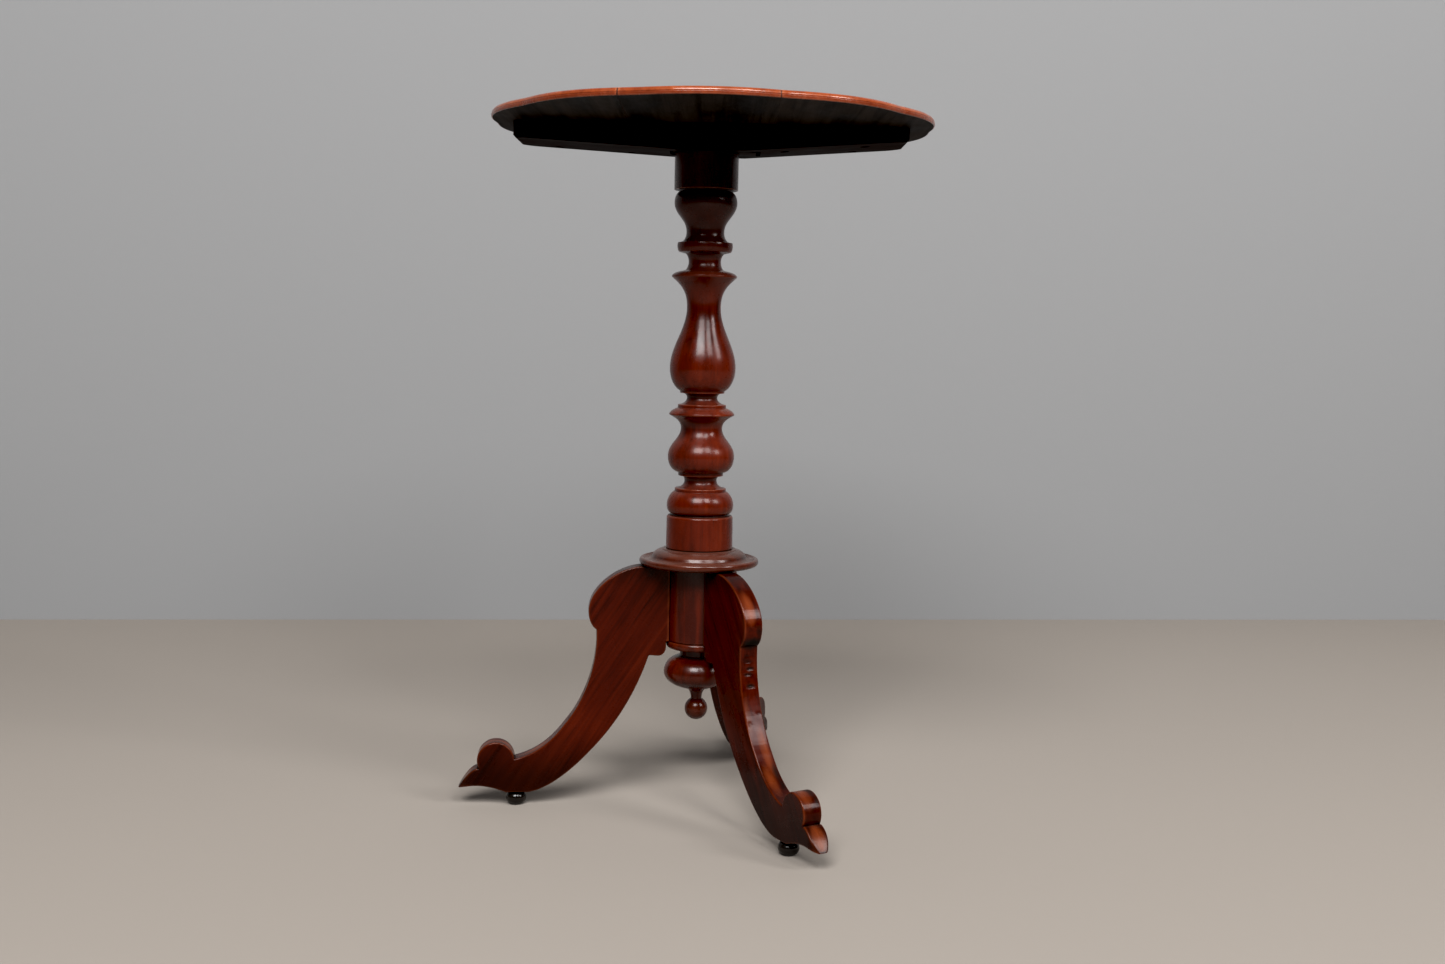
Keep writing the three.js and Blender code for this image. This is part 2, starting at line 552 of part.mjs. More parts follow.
function makeCatch() {
  const channel = new THREE.ExtrudeGeometry(catchSection(), { depth: CATCH_LENGTH, bevelEnabled: false })
    .rotateX(Math.PI / 2)
    .rotateZ(Math.PI / 2)
    .translate(CATCH_X - CATCH_LENGTH / 2, 0, 0);
  const flangeScrewTop = TOP_UNDERSIDE - GAP - 1.4 - 0.7 - GAP;
  const flangeHoles = CATCH_SCREW_SPOTS.map((y) =>
    barZ(1.5, CATCH_SCREW_X, y, TOP_UNDERSIDE - 4, TOP_UNDERSIDE + 1, 10));
  const stemWindow = boxBetween(
    [STEM_X - STEM_RADIUS - 0.5, 1, BOLT_Z - STEM_RADIUS - 0.4],
    [STEM_X + CATCH_TRAVEL + STEM_RADIUS + 0.5, 12, BOLT_Z + STEM_RADIUS + 0.4],
  );
  add("catch_case", cut(channel, stemWindow, ...flangeHoles), BRASS);
  CATCH_SCREW_SPOTS.forEach((y, i) => {
    add(`catch_screw_${i + 1}`, smallScrew(6.4).translate(CATCH_SCREW_X, y, flangeScrewTop), BRASS);
  });

  const bolt = new THREE.Shape();
  bolt.moveTo(STEM_X - BOLT_LENGTH / 2, BOLT_Z - BOLT_HEIGHT / 2);
  bolt.lineTo(STEM_X + BOLT_LENGTH / 2, BOLT_Z - BOLT_HEIGHT / 2);
  bolt.lineTo(STEM_X + BOLT_LENGTH / 2, BOLT_Z + BOLT_HEIGHT / 2 - 1.5);
  bolt.lineTo(STEM_X + BOLT_LENGTH / 2 - 2, BOLT_Z + BOLT_HEIGHT / 2);
  bolt.lineTo(STEM_X - BOLT_LENGTH / 2, BOLT_Z + BOLT_HEIGHT / 2);
  add("catch_bolt", slab(bolt, BOLT_WIDTH), BRASS);

  // the knob and its stem lie along y, from the bolt out through the bearer's back
  const back = BEARER_WIDTH / 2;
  const knob = new THREE.Path();
  knob.moveTo(0, BOLT_WIDTH / 2 + GAP);
  knob.lineTo(STEM_RADIUS, BOLT_WIDTH / 2 + GAP);
  knob.lineTo(STEM_RADIUS, back + 1.5);
  knob.lineTo(2.4, back + 2.5);
  knob.bezierCurveTo(4.5, back + 3.5, 4.5, back + 10.6, 0, back + 11);
  add("catch_knob", turned(knob, 12, 4).rotateX(-Math.PI / 2).translate(STEM_X, 0, BOLT_Z), BRASS);

  const keeperRight = BLOCK_LEFT - GAP;
  const keeper = boxBetween(
    [keeperRight - KEEPER_THICK, -13, BLOCK_BOTTOM + 3],
    [keeperRight, 13, BLOCK_TOP - 2.4],
  );
  const window = boxBetween(
    [keeperRight - 5, -BOLT_WIDTH / 2 - 0.6, BOLT_Z - BOLT_HEIGHT / 2 - 0.6],
    [keeperRight + 5, BOLT_WIDTH / 2 + 0.6, BLOCK_TOP + 5],
  );
  const keeperSpots = [-10, 10];
  const keeperHoles = keeperSpots.map((y) =>
    barX(1.5, y, BLOCK_BOTTOM + 8, keeperRight - 5, keeperRight + 5, 10));
  add("catch_keeper", cut(keeper, window, ...keeperHoles), BRASS);
  keeperSpots.forEach((y, i) => {
    const screw = smallScrew(11, 2.2, 1.1)
      .rotateY(Math.PI / 2)
      .translate(keeperRight - KEEPER_THICK - 0.7 - GAP, y, BLOCK_BOTTOM + 8);
    add(`keeper_screw_${i + 1}`, screw, BRASS);
  });
}

// ---------------------------------------------------------------- assembly
makeTop();
makeBearer();
makeBearerScrews();
makePivot();
makePillar();
makeCollar();
makeHub();
makeFinial();
makeLegs();
makeCatch();

table.position.set(COLUMN_X, COLUMN_Y, 0);
const part = new THREE.Group();
part.add(table);

export default part;
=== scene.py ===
"""Looks for the tilt-top pedestal table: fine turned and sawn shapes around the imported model, worn
mahogany, brass and black balls, and a plain studio. Profiles are in millimetres from the pillar's axis
and the floor."""

import math
import random

import bmesh
import bpy
from mathutils import Matrix, Quaternion, Vector
from mathutils.geometry import delaunay_2d_cdt


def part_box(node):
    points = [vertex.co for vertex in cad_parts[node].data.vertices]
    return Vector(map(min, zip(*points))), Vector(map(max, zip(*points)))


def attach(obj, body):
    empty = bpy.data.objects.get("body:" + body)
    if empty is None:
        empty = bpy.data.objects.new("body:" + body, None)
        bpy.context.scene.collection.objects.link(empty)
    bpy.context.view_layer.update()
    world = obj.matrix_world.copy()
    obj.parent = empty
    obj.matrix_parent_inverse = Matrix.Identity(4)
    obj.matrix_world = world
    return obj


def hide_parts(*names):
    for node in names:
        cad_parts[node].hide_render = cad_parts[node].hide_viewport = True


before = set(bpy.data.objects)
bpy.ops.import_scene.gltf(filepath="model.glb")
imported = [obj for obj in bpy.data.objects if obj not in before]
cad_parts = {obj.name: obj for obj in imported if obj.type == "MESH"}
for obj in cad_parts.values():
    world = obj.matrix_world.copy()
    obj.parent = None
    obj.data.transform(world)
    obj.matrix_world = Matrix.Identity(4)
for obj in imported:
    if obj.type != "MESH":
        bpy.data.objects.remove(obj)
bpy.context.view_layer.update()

MM = 0.001
# the room between glued or sliding pieces
GAP = 0.3
PILLAR_LOW, PILLAR_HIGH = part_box("pillar")
AXIS_X = (PILLAR_LOW.x + PILLAR_HIGH.x) / 2 / MM
AXIS_Y = (PILLAR_LOW.y + PILLAR_HIGH.y) / 2 / MM


# ---------------------------------------------------------------- outlines
def bezier(start, first, second, end, count):
    """Points along a cubic curve, without its start."""
    points = []
    for i in range(1, count + 1):
        t = i / count
        a, b, c, d = (1 - t) ** 3, 3 * t * (1 - t) ** 2, 3 * t * t * (1 - t), t ** 3
        points.append(tuple(a * p + b * q + c * r + d * s for p, q, r, s in zip(start, first, second, end)))
    return points


def arc(centre, radius, start, end, count):
    """Points along a circle from one angle to another, in degrees."""
    points = []
    for i in range(count + 1):
        angle = math.radians(start + (end - start) * i / count)
        points.append((centre[0] + radius * math.cos(angle), centre[1] + radius * math.sin(angle)))
    return points


def trace(steps, smooth=16):
    """Follows steps: (x, z) is a line, six numbers are a cubic curve, five are an arc."""
    points = [steps[0]] if len(steps[0]) == 2 else arc(steps[0][:2], *steps[0][2:], smooth)
    for step in steps[1:]:
        if len(step) == 2:
            points.append(step)
        elif len(step) == 5:
            points += arc(step[:2], *step[2:], smooth)
        else:
            points += bezier(points[-1], step[0:2], step[2:4], step[4:6], smooth)
    return points


def soften(points, radius, closed, sharp=20):
    """Rounds the sharp corners of an outline with small curves."""
    result = []
    count = len(points)
    for i, corner in enumerate(points):
        if not closed and i in (0, count - 1):
            result.append(corner)
            continue
        here = Vector(corner)
        back = Vector(points[i - 1]) - here
        ahead = Vector(points[(i + 1) % count]) - here
        if back.length < 1e-6 or ahead.length < 1e-6:
            continue
        if math.degrees(math.pi - back.angle(ahead)) < sharp:
            result.append(corner)
            continue
        reach = min(radius, 0.45 * back.length, 0.45 * ahead.length)
        start = here + back.normalized() * reach
        end = here + ahead.normalized() * reach
        if back.length > 4 * reach:
            result.append(tuple(start + back.normalized() * reach * 0.6))
        for t in (0.0, 0.25, 0.5, 0.75, 1.0):
            result.append(tuple(start * (1 - t) ** 2 + here * 2 * t * (1 - t) + end * t * t))
        if ahead.length > 4 * reach:
            result.append(tuple(end + ahead.normalized() * reach * 0.6))
    return result


def subdivided(points, longest):
    """Splits the long steps of a closed outline."""
    result = []
    for i, point in enumerate(points):
        step = Vector(points[(i + 1) % len(points)]) - Vector(point)
        pieces = max(1, math.ceil(step.length / longest))
        result += [tuple(Vector(point) + step * j / pieces) for j in range(pieces)]
    return result


def inward_normals(outline):
    """The inward direction at each point of a closed outline."""
    area = sum(a[0] * b[1] - b[0] * a[1] for a, b in zip(outline, outline[1:] + outline[:1]))
    side = 1 if area > 0 else -1
    normals = []
    for i, point in enumerate(outline):
        before = (Vector(point) - Vector(outline[i - 1])).normalized()
        after = (Vector(outline[(i + 1) % len(outline)]) - Vector(point)).normalized()
        normals.append((Vector((-before.y - after.y, before.x + after.x)) * side).normalized())
    return normals


def inset_room(outline, normals, reach=45):
    """How far each point can move in before it meets the part of the outline beside it."""
    count = len(outline)
    room = []
    for i, (point, normal) in enumerate(zip(outline, normals)):
        least = 1000.0
        for j in range(i - min(reach, count // 2), i + min(reach, count // 2) + 1):
            away = Vector(outline[j % count]) - Vector(point)
            towards = away.dot(normal)
            if towards > 1e-6:
                least = min(least, away.length_squared / (2 * towards))
        room.append(least)
    return room


def inset_outline(outline, normals, room, distance):
    """Moves a closed outline in. Points that would cross their neighbours gather where the sides meet."""
    count = len(outline)
    moved = [Vector(point) + normal * distance for point, normal in zip(outline, normals)]
    free = [i for i in range(count) if room[i] >= distance]
    for here, following in zip(free, free[1:] + free[:1]):
        gap = (following - here) % count
        meeting = (moved[here] + moved[following]) / 2
        for step in range(1, gap):
            moved[(here + step) % count] = meeting
        if gap > 1:
            moved[here] = moved[following] = meeting
    return moved


# ---------------------------------------------------------------- mesh building
def shade_smooth(piece):
    piece.data.polygons.foreach_set("use_smooth", [True] * len(piece.data.polygons))


def link_mesh(name, shape):
    """Makes an object of a bmesh, with its faces out and smooth."""
    bmesh.ops.remove_doubles(shape, verts=shape.verts, dist=1e-7)
    bmesh.ops.recalc_face_normals(shape, faces=shape.faces)
    mesh = bpy.data.meshes.new(name)
    shape.to_mesh(mesh)
    shape.free()
    piece = bpy.data.objects.new(name, mesh)
    shade_smooth(piece)
    bpy.context.scene.collection.objects.link(piece)
    return piece


def join_rings(shape, lower, upper):
    """Faces between two rings, where either ring may be one point."""
    count = max(len(lower), len(upper))
    for i in range(count):
        a, b = lower[i % len(lower)], lower[(i + 1) % len(lower)]
        c, d = upper[(i + 1) % len(upper)], upper[i % len(upper)]
        corners = []
        for vertex in (a, b, c, d):
            if vertex not in corners:
                corners.append(vertex)
        if len(corners) > 2:
            shape.faces.new(corners)


def turned(name, points, sides=112, centre=(AXIS_X, AXIS_Y), closed=False):
    """Revolves (radius, height) points about a vertical axis through centre."""
    shape = bmesh.new()
    rings = []
    for radius, height in points:
        steps = 1 if radius < 1e-6 else sides
        ring = []
        for i in range(steps):
            angle = 2 * math.pi * i / sides
            x = centre[0] + radius * math.cos(angle)
            y = centre[1] + radius * math.sin(angle)
            ring.append(shape.verts.new((x * MM, y * MM, height * MM)))
        rings.append(ring)
    for lower, upper in zip(rings, rings[1:] + (rings[:1] if closed else [])):
        join_rings(shape, lower, upper)
    return link_mesh(name, shape)


def stacked(name, outline, layers, place):
    """Stacks copies of a closed outline. A layer is (distance across, inset). place(u, v, w) puts a point."""
    shape = bmesh.new()
    normals = inward_normals(outline)
    room = inset_room(outline, normals)
    rings = []
    for i, (across, inset) in enumerate(layers):
        flat = inset_outline(outline, normals, room, inset)
        ring = [shape.verts.new(Vector(place(u, v, across)) * MM) for u, v in flat]
        if i in (0, len(layers) - 1):
            fill_ring(shape, ring, flat)
        rings.append(ring)
    for lower, upper in zip(rings, rings[1:]):
        join_rings(shape, lower, upper)
    return link_mesh(name, shape)


def fill_ring(shape, ring, flat):
    """Closes a ring of vertices with triangles, worked out from its flat outline."""
    count = len(flat)
    sides = [(i, (i + 1) % count) for i in range(count)]
    filled = delaunay_2d_cdt(flat, sides, [], 1, 1e-4)
    first = [sources[0] if sources else -1 for sources in filled[3]]
    for triangle in filled[2]:
        corners = [ring[first[i]] for i in triangle]
        if len(set(corners)) == 3 and min(first[i] for i in triangle) >= 0:
            shape.faces.new(corners)


def rounded_layers(half, arris, flat_steps):
    """Layers of a board across its thickness, with both edges rounded by the arris radius. Two rings on each
    face keep the marks of its edges from spreading over it."""
    turn_steps = 5
    ring_step = 1.2
    angles = [math.radians(90 * i / turn_steps) for i in range(turn_steps + 1)]
    edge = [(-half, arris + 2 * ring_step), (-half, arris + ring_step)]
    edge += [(-half + arris * (1 - math.cos(a)), arris * (1 - math.sin(a))) for a in angles]
    inner = half - arris
    middle = [(-inner + 2 * inner * i / flat_steps, 0.0) for i in range(1, flat_steps)]
    return edge + middle + [(-across, inset) for across, inset in reversed(edge)]


def cut_out(piece, tools):
    """Cuts tool objects out of a piece, and removes the tools."""
    for tool in tools:
        apply_boolean(piece, tool, "DIFFERENCE")


def apply_boolean(piece, tool, operation):
    step = piece.modifiers.new("cut", "BOOLEAN")
    step.object = tool
    step.operation = operation
    step.solver = "EXACT"
    bake_modifiers(piece)
    bpy.data.objects.remove(tool)


def bake_modifiers(piece):
    """Applies every modifier of a piece to its mesh."""
    graph = bpy.context.evaluated_depsgraph_get()
    mesh = bpy.data.meshes.new_from_object(piece.evaluated_get(graph))
    piece.modifiers.clear()
    piece.data = mesh


def block(name, low, high):
    """A box between two corners, used as a cutting tool."""
    shape = bmesh.new()
    bmesh.ops.create_cube(shape, size=1)
    size = Vector(high) - Vector(low)
    middle = (Vector(high) + Vector(low)) / 2
    for vertex in shape.verts:
        vertex.co = (Vector(c * s for c, s in zip(vertex.co, size)) + middle) * MM
    return link_mesh(name, shape)


def round_edges(piece, width, steps=3):
    """Rounds every sharp edge of a piece."""
    step = piece.modifiers.new("round", "BEVEL")
    step.width = width * MM
    step.segments = steps
    step.limit_method = "ANGLE"
    step.angle_limit = math.radians(35)
    bake_modifiers(piece)
    shade_smooth(piece)


# ---------------------------------------------------------------- marks stored on the meshes
def store_grain(piece, along, offset):
    """Stores a place in the timber for each vertex: z runs along the grain, in metres."""
    along = Vector(along).normalized()
    side = along.orthogonal().normalized()
    other = along.cross(side)
    values = []
    for vertex in piece.data.vertices:
        values += [vertex.co.dot(axis) + start for axis, start in zip((side, other, along), offset)]
    layer = piece.data.attributes.new("grain", "FLOAT_VECTOR", "POINT")
    layer.data.foreach_set("vector", values)


def store_edges(piece):
    """Stores how far each vertex stands on an outward edge (wear) or in a hollow, which the materials darken.
    """
    spread = 2
    strength = 6
    mesh = piece.data
    shape = bmesh.new()
    shape.from_mesh(mesh)
    shape.verts.ensure_lookup_table()
    bends = []
    for vertex in shape.verts:
        around = [edge.other_vert(vertex).co - vertex.co for edge in vertex.link_edges]
        lean = [vertex.normal.dot(step.normalized()) for step in around]
        bends.append(sum(lean) / max(1, len(lean)))
    for _ in range(spread):
        blurred = []
        for vertex in shape.verts:
            beside = [bends[edge.other_vert(vertex).index] for edge in vertex.link_edges]
            blurred.append((bends[vertex.index] + sum(beside)) / (1 + len(beside)))
        bends = blurred
    shape.free()
    for name, sign in (("wear", -1), ("dirt", 1)):
        layer = mesh.attributes.new(name, "FLOAT", "POINT")
        layer.data.foreach_set("value", [min(1.0, max(0.0, sign * bend * strength)) for bend in bends])


def finish_piece(piece, body, nodes, materials, along=(0, 0, 1), weighted=True):
    """Gives a piece its marks, materials and body, and hides the CAD nodes that it stands for."""
    chance = random.Random(piece.name)
    store_grain(piece, along, [chance.uniform(0, 3) for _ in range(3)])
    store_edges(piece)
    if weighted:
        step = piece.modifiers.new("normals", "WEIGHTED_NORMAL")
        step.weight = 60
        step.keep_sharp = True
    if not piece.data.materials:
        for material in materials:
            piece.data.materials.append(material)
    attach(piece, body)
    if nodes:
        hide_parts(*nodes)


# ---------------------------------------------------------------- material helpers
class Recipe:
    """Builds one node material. An input is a number, a colour or another node's output."""

    def __init__(self, name):
        self.material = bpy.data.materials.new(name)
        self.material.use_nodes = True
        self.tree = self.material.node_tree
        self.shader = self.tree.nodes["Principled BSDF"]

    def give(self, socket, value):
        if isinstance(value, bpy.types.NodeSocket):
            self.tree.links.new(value, socket)
        elif isinstance(value, tuple) and len(value) == 3 and socket.type == "RGBA":
            socket.default_value = (*value, 1.0)
        else:
            socket.default_value = value

    def node(self, kind, inputs=None, **settings):
        node = self.tree.nodes.new(kind)
        for key, value in settings.items():
            setattr(node, key, value)
        for key, value in (inputs or {}).items():
            self.give(node.inputs[key], value)
        return node

    def math(self, operation, *values):
        node = self.node("ShaderNodeMath", operation=operation)
        for socket, value in zip(node.inputs, values):
            self.give(socket, value)
        return node.outputs[0]

    def mix(self, factor, first, second):
        """Blends two colours. Sockets 6 and 7 are the node's colour inputs, and output 2 is its colour."""
        node = self.node("ShaderNodeMix", data_type="RGBA")
        self.give(node.inputs[0], factor)
        self.give(node.inputs[6], first)
        self.give(node.inputs[7], second)
        return node.outputs[2]

    def span(self, value, low, high, to_low=0.0, to_high=1.0):
        """Maps a stretch of values smoothly onto another."""
        node = self.node("ShaderNodeMapRange", interpolation_type="SMOOTHSTEP")
        keys = ("Value", "From Min", "From Max", "To Min", "To Max")
        for key, number in zip(keys, (value, low, high, to_low, to_high)):
            self.give(node.inputs[key], number)
        return node.outputs[0]

    def noise(self, vector, scale, detail=3.0, roughness=0.5, stretch=(1, 1, 1), distortion=0.0):
        scaled = self.node("ShaderNodeMapping", {"Vector": vector, "Scale": stretch})
        settings = {
            "Vector": scaled.outputs[0], "Scale": scale, "Detail": detail,
            "Roughness": roughness, "Distortion": distortion,
        }
        return self.node("ShaderNodeTexNoise", settings).outputs["Fac"]

    def mark(self, name, output="Fac"):
        return self.node("ShaderNodeAttribute", attribute_name=name).outputs[output]

    def bump(self, height, distance, strength=1.0, normal=None):
        node = self.node("ShaderNodeBump", {"Height": height, "Distance": distance, "Strength": strength})
        if normal is not None:
            self.give(node.inputs["Normal"], normal)
        return node.outputs[0]

    def finish(self, **inputs):
        for key, value in inputs.items():
            self.give(self.shader.inputs[key.replace("_", " ")], value)
        return self.material


# the colour of dirt, and of painted shade in corners and hollows
DIRT_AND_SHADE_COLOUR = (0.006, 0.0035, 0.0025)
# the colour of dust, and of a painted sheen on faces that look up
DUST_AND_SHEEN_COLOUR = (0.4, 0.24, 0.19)


def shaded(colour, amount):
    return tuple(c * amount for c in colour)


def mahogany(name, dark, middle, light, worn, polish, gloss, stain, streaks,
             crevice=0.007, dust_and_sheen=0.0, darkening=()):
    """Old polished mahogany: fibres and pores along the grain, dark stains, worn arrises, dirt and painted
    shade in the corners, and dust with a painted sheen on faces that look up. crevice is how far the painted
    shade reaches. Each item of darkening is (height where it starts, height that is darkest, how dark), in
    metres."""
    r = Recipe(name)
    grain = r.mark("grain", "Vector")
    cloud = r.noise(grain, 16, 4, 0.6, (1, 1, 0.45))
    streak = r.noise(grain, 170, 3, 0.6, (1, 1, 0.035), 0.4)
    fibre = r.noise(grain, 700, 2, 0.6, (1, 1, 0.03))
    tone = r.math("ADD", r.math("MULTIPLY", cloud, 1 - streaks), r.math("MULTIPLY", streak, streaks))
    colour = r.mix(r.span(tone, 0.36, 0.52), dark, middle)
    colour = r.mix(r.span(tone, 0.5, 0.66), colour, light)
    pores = r.span(fibre, 0.6, 0.72)
    colour = r.mix(r.math("MULTIPLY", pores, 0.45), colour, shaded(dark, 0.25))
    blotch = r.noise(grain, 60, 5, 0.65, (1, 1, 0.25), 0.3)
    stains = r.math("MULTIPLY", r.span(blotch, 0.5, 0.7), stain)
    colour = r.mix(stains, colour, shaded(dark, 0.3))
    place = r.node("ShaderNodeSeparateXYZ", {"Vector": r.node("ShaderNodeTexCoord").outputs["Object"]})
    height = r.math("ADD", place.outputs["Z"], r.math("MULTIPLY", cloud, 0.02))
    # bands that darken the wood with height: painted shade on the hub, the pillar's head and the legs' tops
    for untouched, darkest, amount in darkening:
        colour = r.mix(r.span(height, untouched, darkest, 0, amount), colour, shaded(dark, 0.15))
    rub = r.noise(grain, 110, 3, 0.55, (1, 1, 0.12))
    wear = r.math("MULTIPLY", r.span(r.mark("wear"), 0.1, 0.9), r.span(rub, 0.22, 0.6, 0.35, 1.0))
    colour = r.mix(r.math("MULTIPLY", wear, 0.75), colour, worn)
    # painted shade: the ambient occlusion node darkens corners, creases and the places between parts, and
    # joins the stored marks of hollows, bruises, joints and darker patches
    corner = r.node("ShaderNodeAmbientOcclusion", {"Distance": crevice}, samples=6)
    shade = r.span(corner.outputs["AO"], 0.3, 0.85, 1.0, 0.0)
    dirt = r.math("MAXIMUM", r.math("MULTIPLY", r.mark("dirt"), 0.88), r.math("MULTIPLY", shade, 0.75))
    colour = r.mix(dirt, colour, DIRT_AND_SHADE_COLOUR)
    rough = r.span(r.noise(grain, 60, 4, 0.6), 0.3, 0.7, gloss - 0.05, gloss + 0.12)
    rough = r.math("ADD", rough, r.math("MULTIPLY", dirt, 0.3))
    # dust and a painted sheen: faces that look up get paler, as light from above would make them
    facing = r.node("ShaderNodeSeparateXYZ", {"Vector": r.node("ShaderNodeNewGeometry").outputs["Normal"]})
    upward_dust_and_sheen = r.math("MULTIPLY", r.span(facing.outputs["Z"], 0.25, 0.85), dust_and_sheen)
    colour = r.mix(upward_dust_and_sheen, colour, DUST_AND_SHEEN_COLOUR)
    ripple = r.noise(grain, 42, 2, 0.5, (1, 1, 0.6))
    normal = r.bump(ripple, 0.00035, 0.5)
    normal = r.bump(fibre, 0.00005, 0.4, normal)
    return r.finish(
        Base_Color=colour, Roughness=rough, Normal=normal, IOR=1.45, Specular_IOR_Level=polish,
        Coat_Weight=0.15, Coat_Roughness=0.1, Coat_IOR=1.5,
    )


def dull_wood(name, dark, light, roughness, streak_scale=150):
    """Unpolished timber with open grain, and painted shade in its corners."""
    r = Recipe(name)
    grain = r.mark("grain", "Vector")
    streak = r.noise(grain, streak_scale, 4, 0.65, (1, 1, 0.04), 0.5)
    cloud = r.noise(grain, 22, 4, 0.6, (1, 1, 0.5))
    tone = r.math("ADD", r.math("MULTIPLY", streak, 0.55), r.math("MULTIPLY", cloud, 0.45))
    colour = r.mix(r.span(tone, 0.38, 0.62), dark, light)
    # painted shade: the ambient occlusion node darkens the corners
    corner = r.node("ShaderNodeAmbientOcclusion", {"Distance": 0.008}, samples=6)
    colour = r.mix(r.span(corner.outputs["AO"], 0.25, 0.8, 0.8, 0.0), colour, shaded(dark, 0.2))
    rough = r.span(cloud, 0.3, 0.7, roughness - 0.1, roughness + 0.1)
    normal = r.bump(streak, 0.0002, 0.6)
    return r.finish(Base_Color=colour, Roughness=rough, Normal=normal, Specular_IOR_Level=0.06)


def old_metal(name, untouched, tarnish, roughness):
    """Aged metal: tarnish in patches and in the corners."""
    r = Recipe(name)
    place = r.node("ShaderNodeTexCoord").outputs["Object"]
    patch = r.noise(place, 260, 5, 0.65)
    corner = r.node("ShaderNodeAmbientOcclusion", {"Distance": 0.003}, samples=6)
    shade = r.span(corner.outputs["AO"], 0.3, 0.9, 1.0, 0.0)
    cover = r.math("MAXIMUM", r.span(patch, 0.42, 0.64), shade)
    colour = r.mix(cover, untouched, tarnish)
    rough = r.span(cover, 0.0, 1.0, roughness, roughness + 0.3)
    return r.finish(Base_Color=colour, Roughness=rough, Metallic=1.0, Normal=r.bump(patch, 0.0001, 0.4))


# each wood's colours: dark grain, middle, light grain, worn
PILLAR_REDS = ((0.05, 0.0045, 0.001), (0.107, 0.0112, 0.0022), (0.15, 0.0195, 0.0042), (0.27, 0.085, 0.042))
COLLAR_REDS = ((0.035, 0.006, 0.0025), (0.075, 0.0135, 0.0055), (0.11, 0.024, 0.01), (0.2, 0.06, 0.03))
LEG_REDS = ((0.028, 0.0024, 0.0007), (0.064, 0.006, 0.0014), (0.096, 0.011, 0.0024), (0.24, 0.058, 0.018))
TOP_REDS = ((0.1, 0.013, 0.004), (0.17, 0.029, 0.0095), (0.235, 0.048, 0.016), (0.45, 0.18, 0.09))
RIM_REDS = ((0.2, 0.036, 0.011), (0.29, 0.06, 0.018), (0.37, 0.09, 0.028), (0.46, 0.17, 0.085))
BEAD_REDS = ((0.13, 0.02, 0.0065), (0.185, 0.032, 0.0105), (0.25, 0.05, 0.0165), (0.36, 0.12, 0.06))
BLACKS = ((0.003, 0.0025, 0.0023), (0.006, 0.005, 0.0045), (0.01, 0.008, 0.007), (0.05, 0.03, 0.02))

COLLAR_MAHOGANY = mahogany(
    "polished_mahogany", *COLLAR_REDS, polish=0.5, gloss=0.2, stain=0.3, streaks=0.35, dust_and_sheen=0.1)
# the hub gets darker towards its top: painted shade under the collar
HUB_MAHOGANY = mahogany(
    "hub_mahogany", *PILLAR_REDS, polish=0.42, gloss=0.25, stain=0.25, streaks=0.35,
    darkening=[(0.235, 0.262, 0.8)])
# the pillar gets darker towards its head: painted shade under the top
PILLAR_MAHOGANY = mahogany(
    "pillar_mahogany", *PILLAR_REDS, polish=0.38, gloss=0.24, stain=0.25, streaks=0.35, dust_and_sheen=0.05,
    darkening=[(0.53, 0.66, 0.72)])
# the finial gets darker towards its ball at the bottom
FINIAL_MAHOGANY = mahogany(
    "finial_mahogany", *PILLAR_REDS, polish=0.42, gloss=0.22, stain=0.35, streaks=0.35,
    darkening=[(0.155, 0.1, 0.6)])
# the legs get darker towards their feet, and darker towards their tops, which is painted shade under the
# collar
LEG_MAHOGANY = mahogany(
    "leg_mahogany", *LEG_REDS, polish=0.2, gloss=0.27, stain=0.14, streaks=0.6,
    darkening=[(0.1, 0.035, 0.75), (0.235, 0.268, 0.6)])
TOP_POLISH = mahogany("top_mahogany", *TOP_REDS, polish=0.3, gloss=0.22, stain=0.15, streaks=0.6)
RIM_POLISH = mahogany(
    "rim_mahogany", *RIM_REDS, polish=0.6, gloss=0.16, stain=0.1, streaks=0.5, crevice=0.002)
BEAD_POLISH = mahogany(
    "bead_mahogany", *BEAD_REDS, polish=0.5, gloss=0.18, stain=0.12, streaks=0.5, crevice=0.002)
UNDERSIDE = dull_wood("top_underside", (0.009, 0.0075, 0.0065), (0.04, 0.032, 0.027), 0.6, 90)
BEARER_WOOD = dull_wood("bearer_wood", (0.006, 0.003, 0.0022), (0.02, 0.0095, 0.007), 0.7, 120)
BLOCK_WOOD = dull_wood("block_wood", (0.006, 0.0025, 0.0015), (0.02, 0.008, 0.0045), 0.6)
EBONISED = mahogany("ebonised_wood", *BLACKS, polish=0.5, gloss=0.14, stain=0.2, streaks=0.55)
BRASS = old_metal("catch_brass", (0.36, 0.24, 0.095), (0.08, 0.05, 0.024), 0.34)
IRON = old_metal("iron", (0.12, 0.11, 0.1), (0.02, 0.015, 0.012), 0.45)

# ---------------------------------------------------------------- pillar
HEAD_RADIUS = 32.65
BASE_RADIUS = 34.7
HEAD_TENON = 13
FOOT_TENON = 14
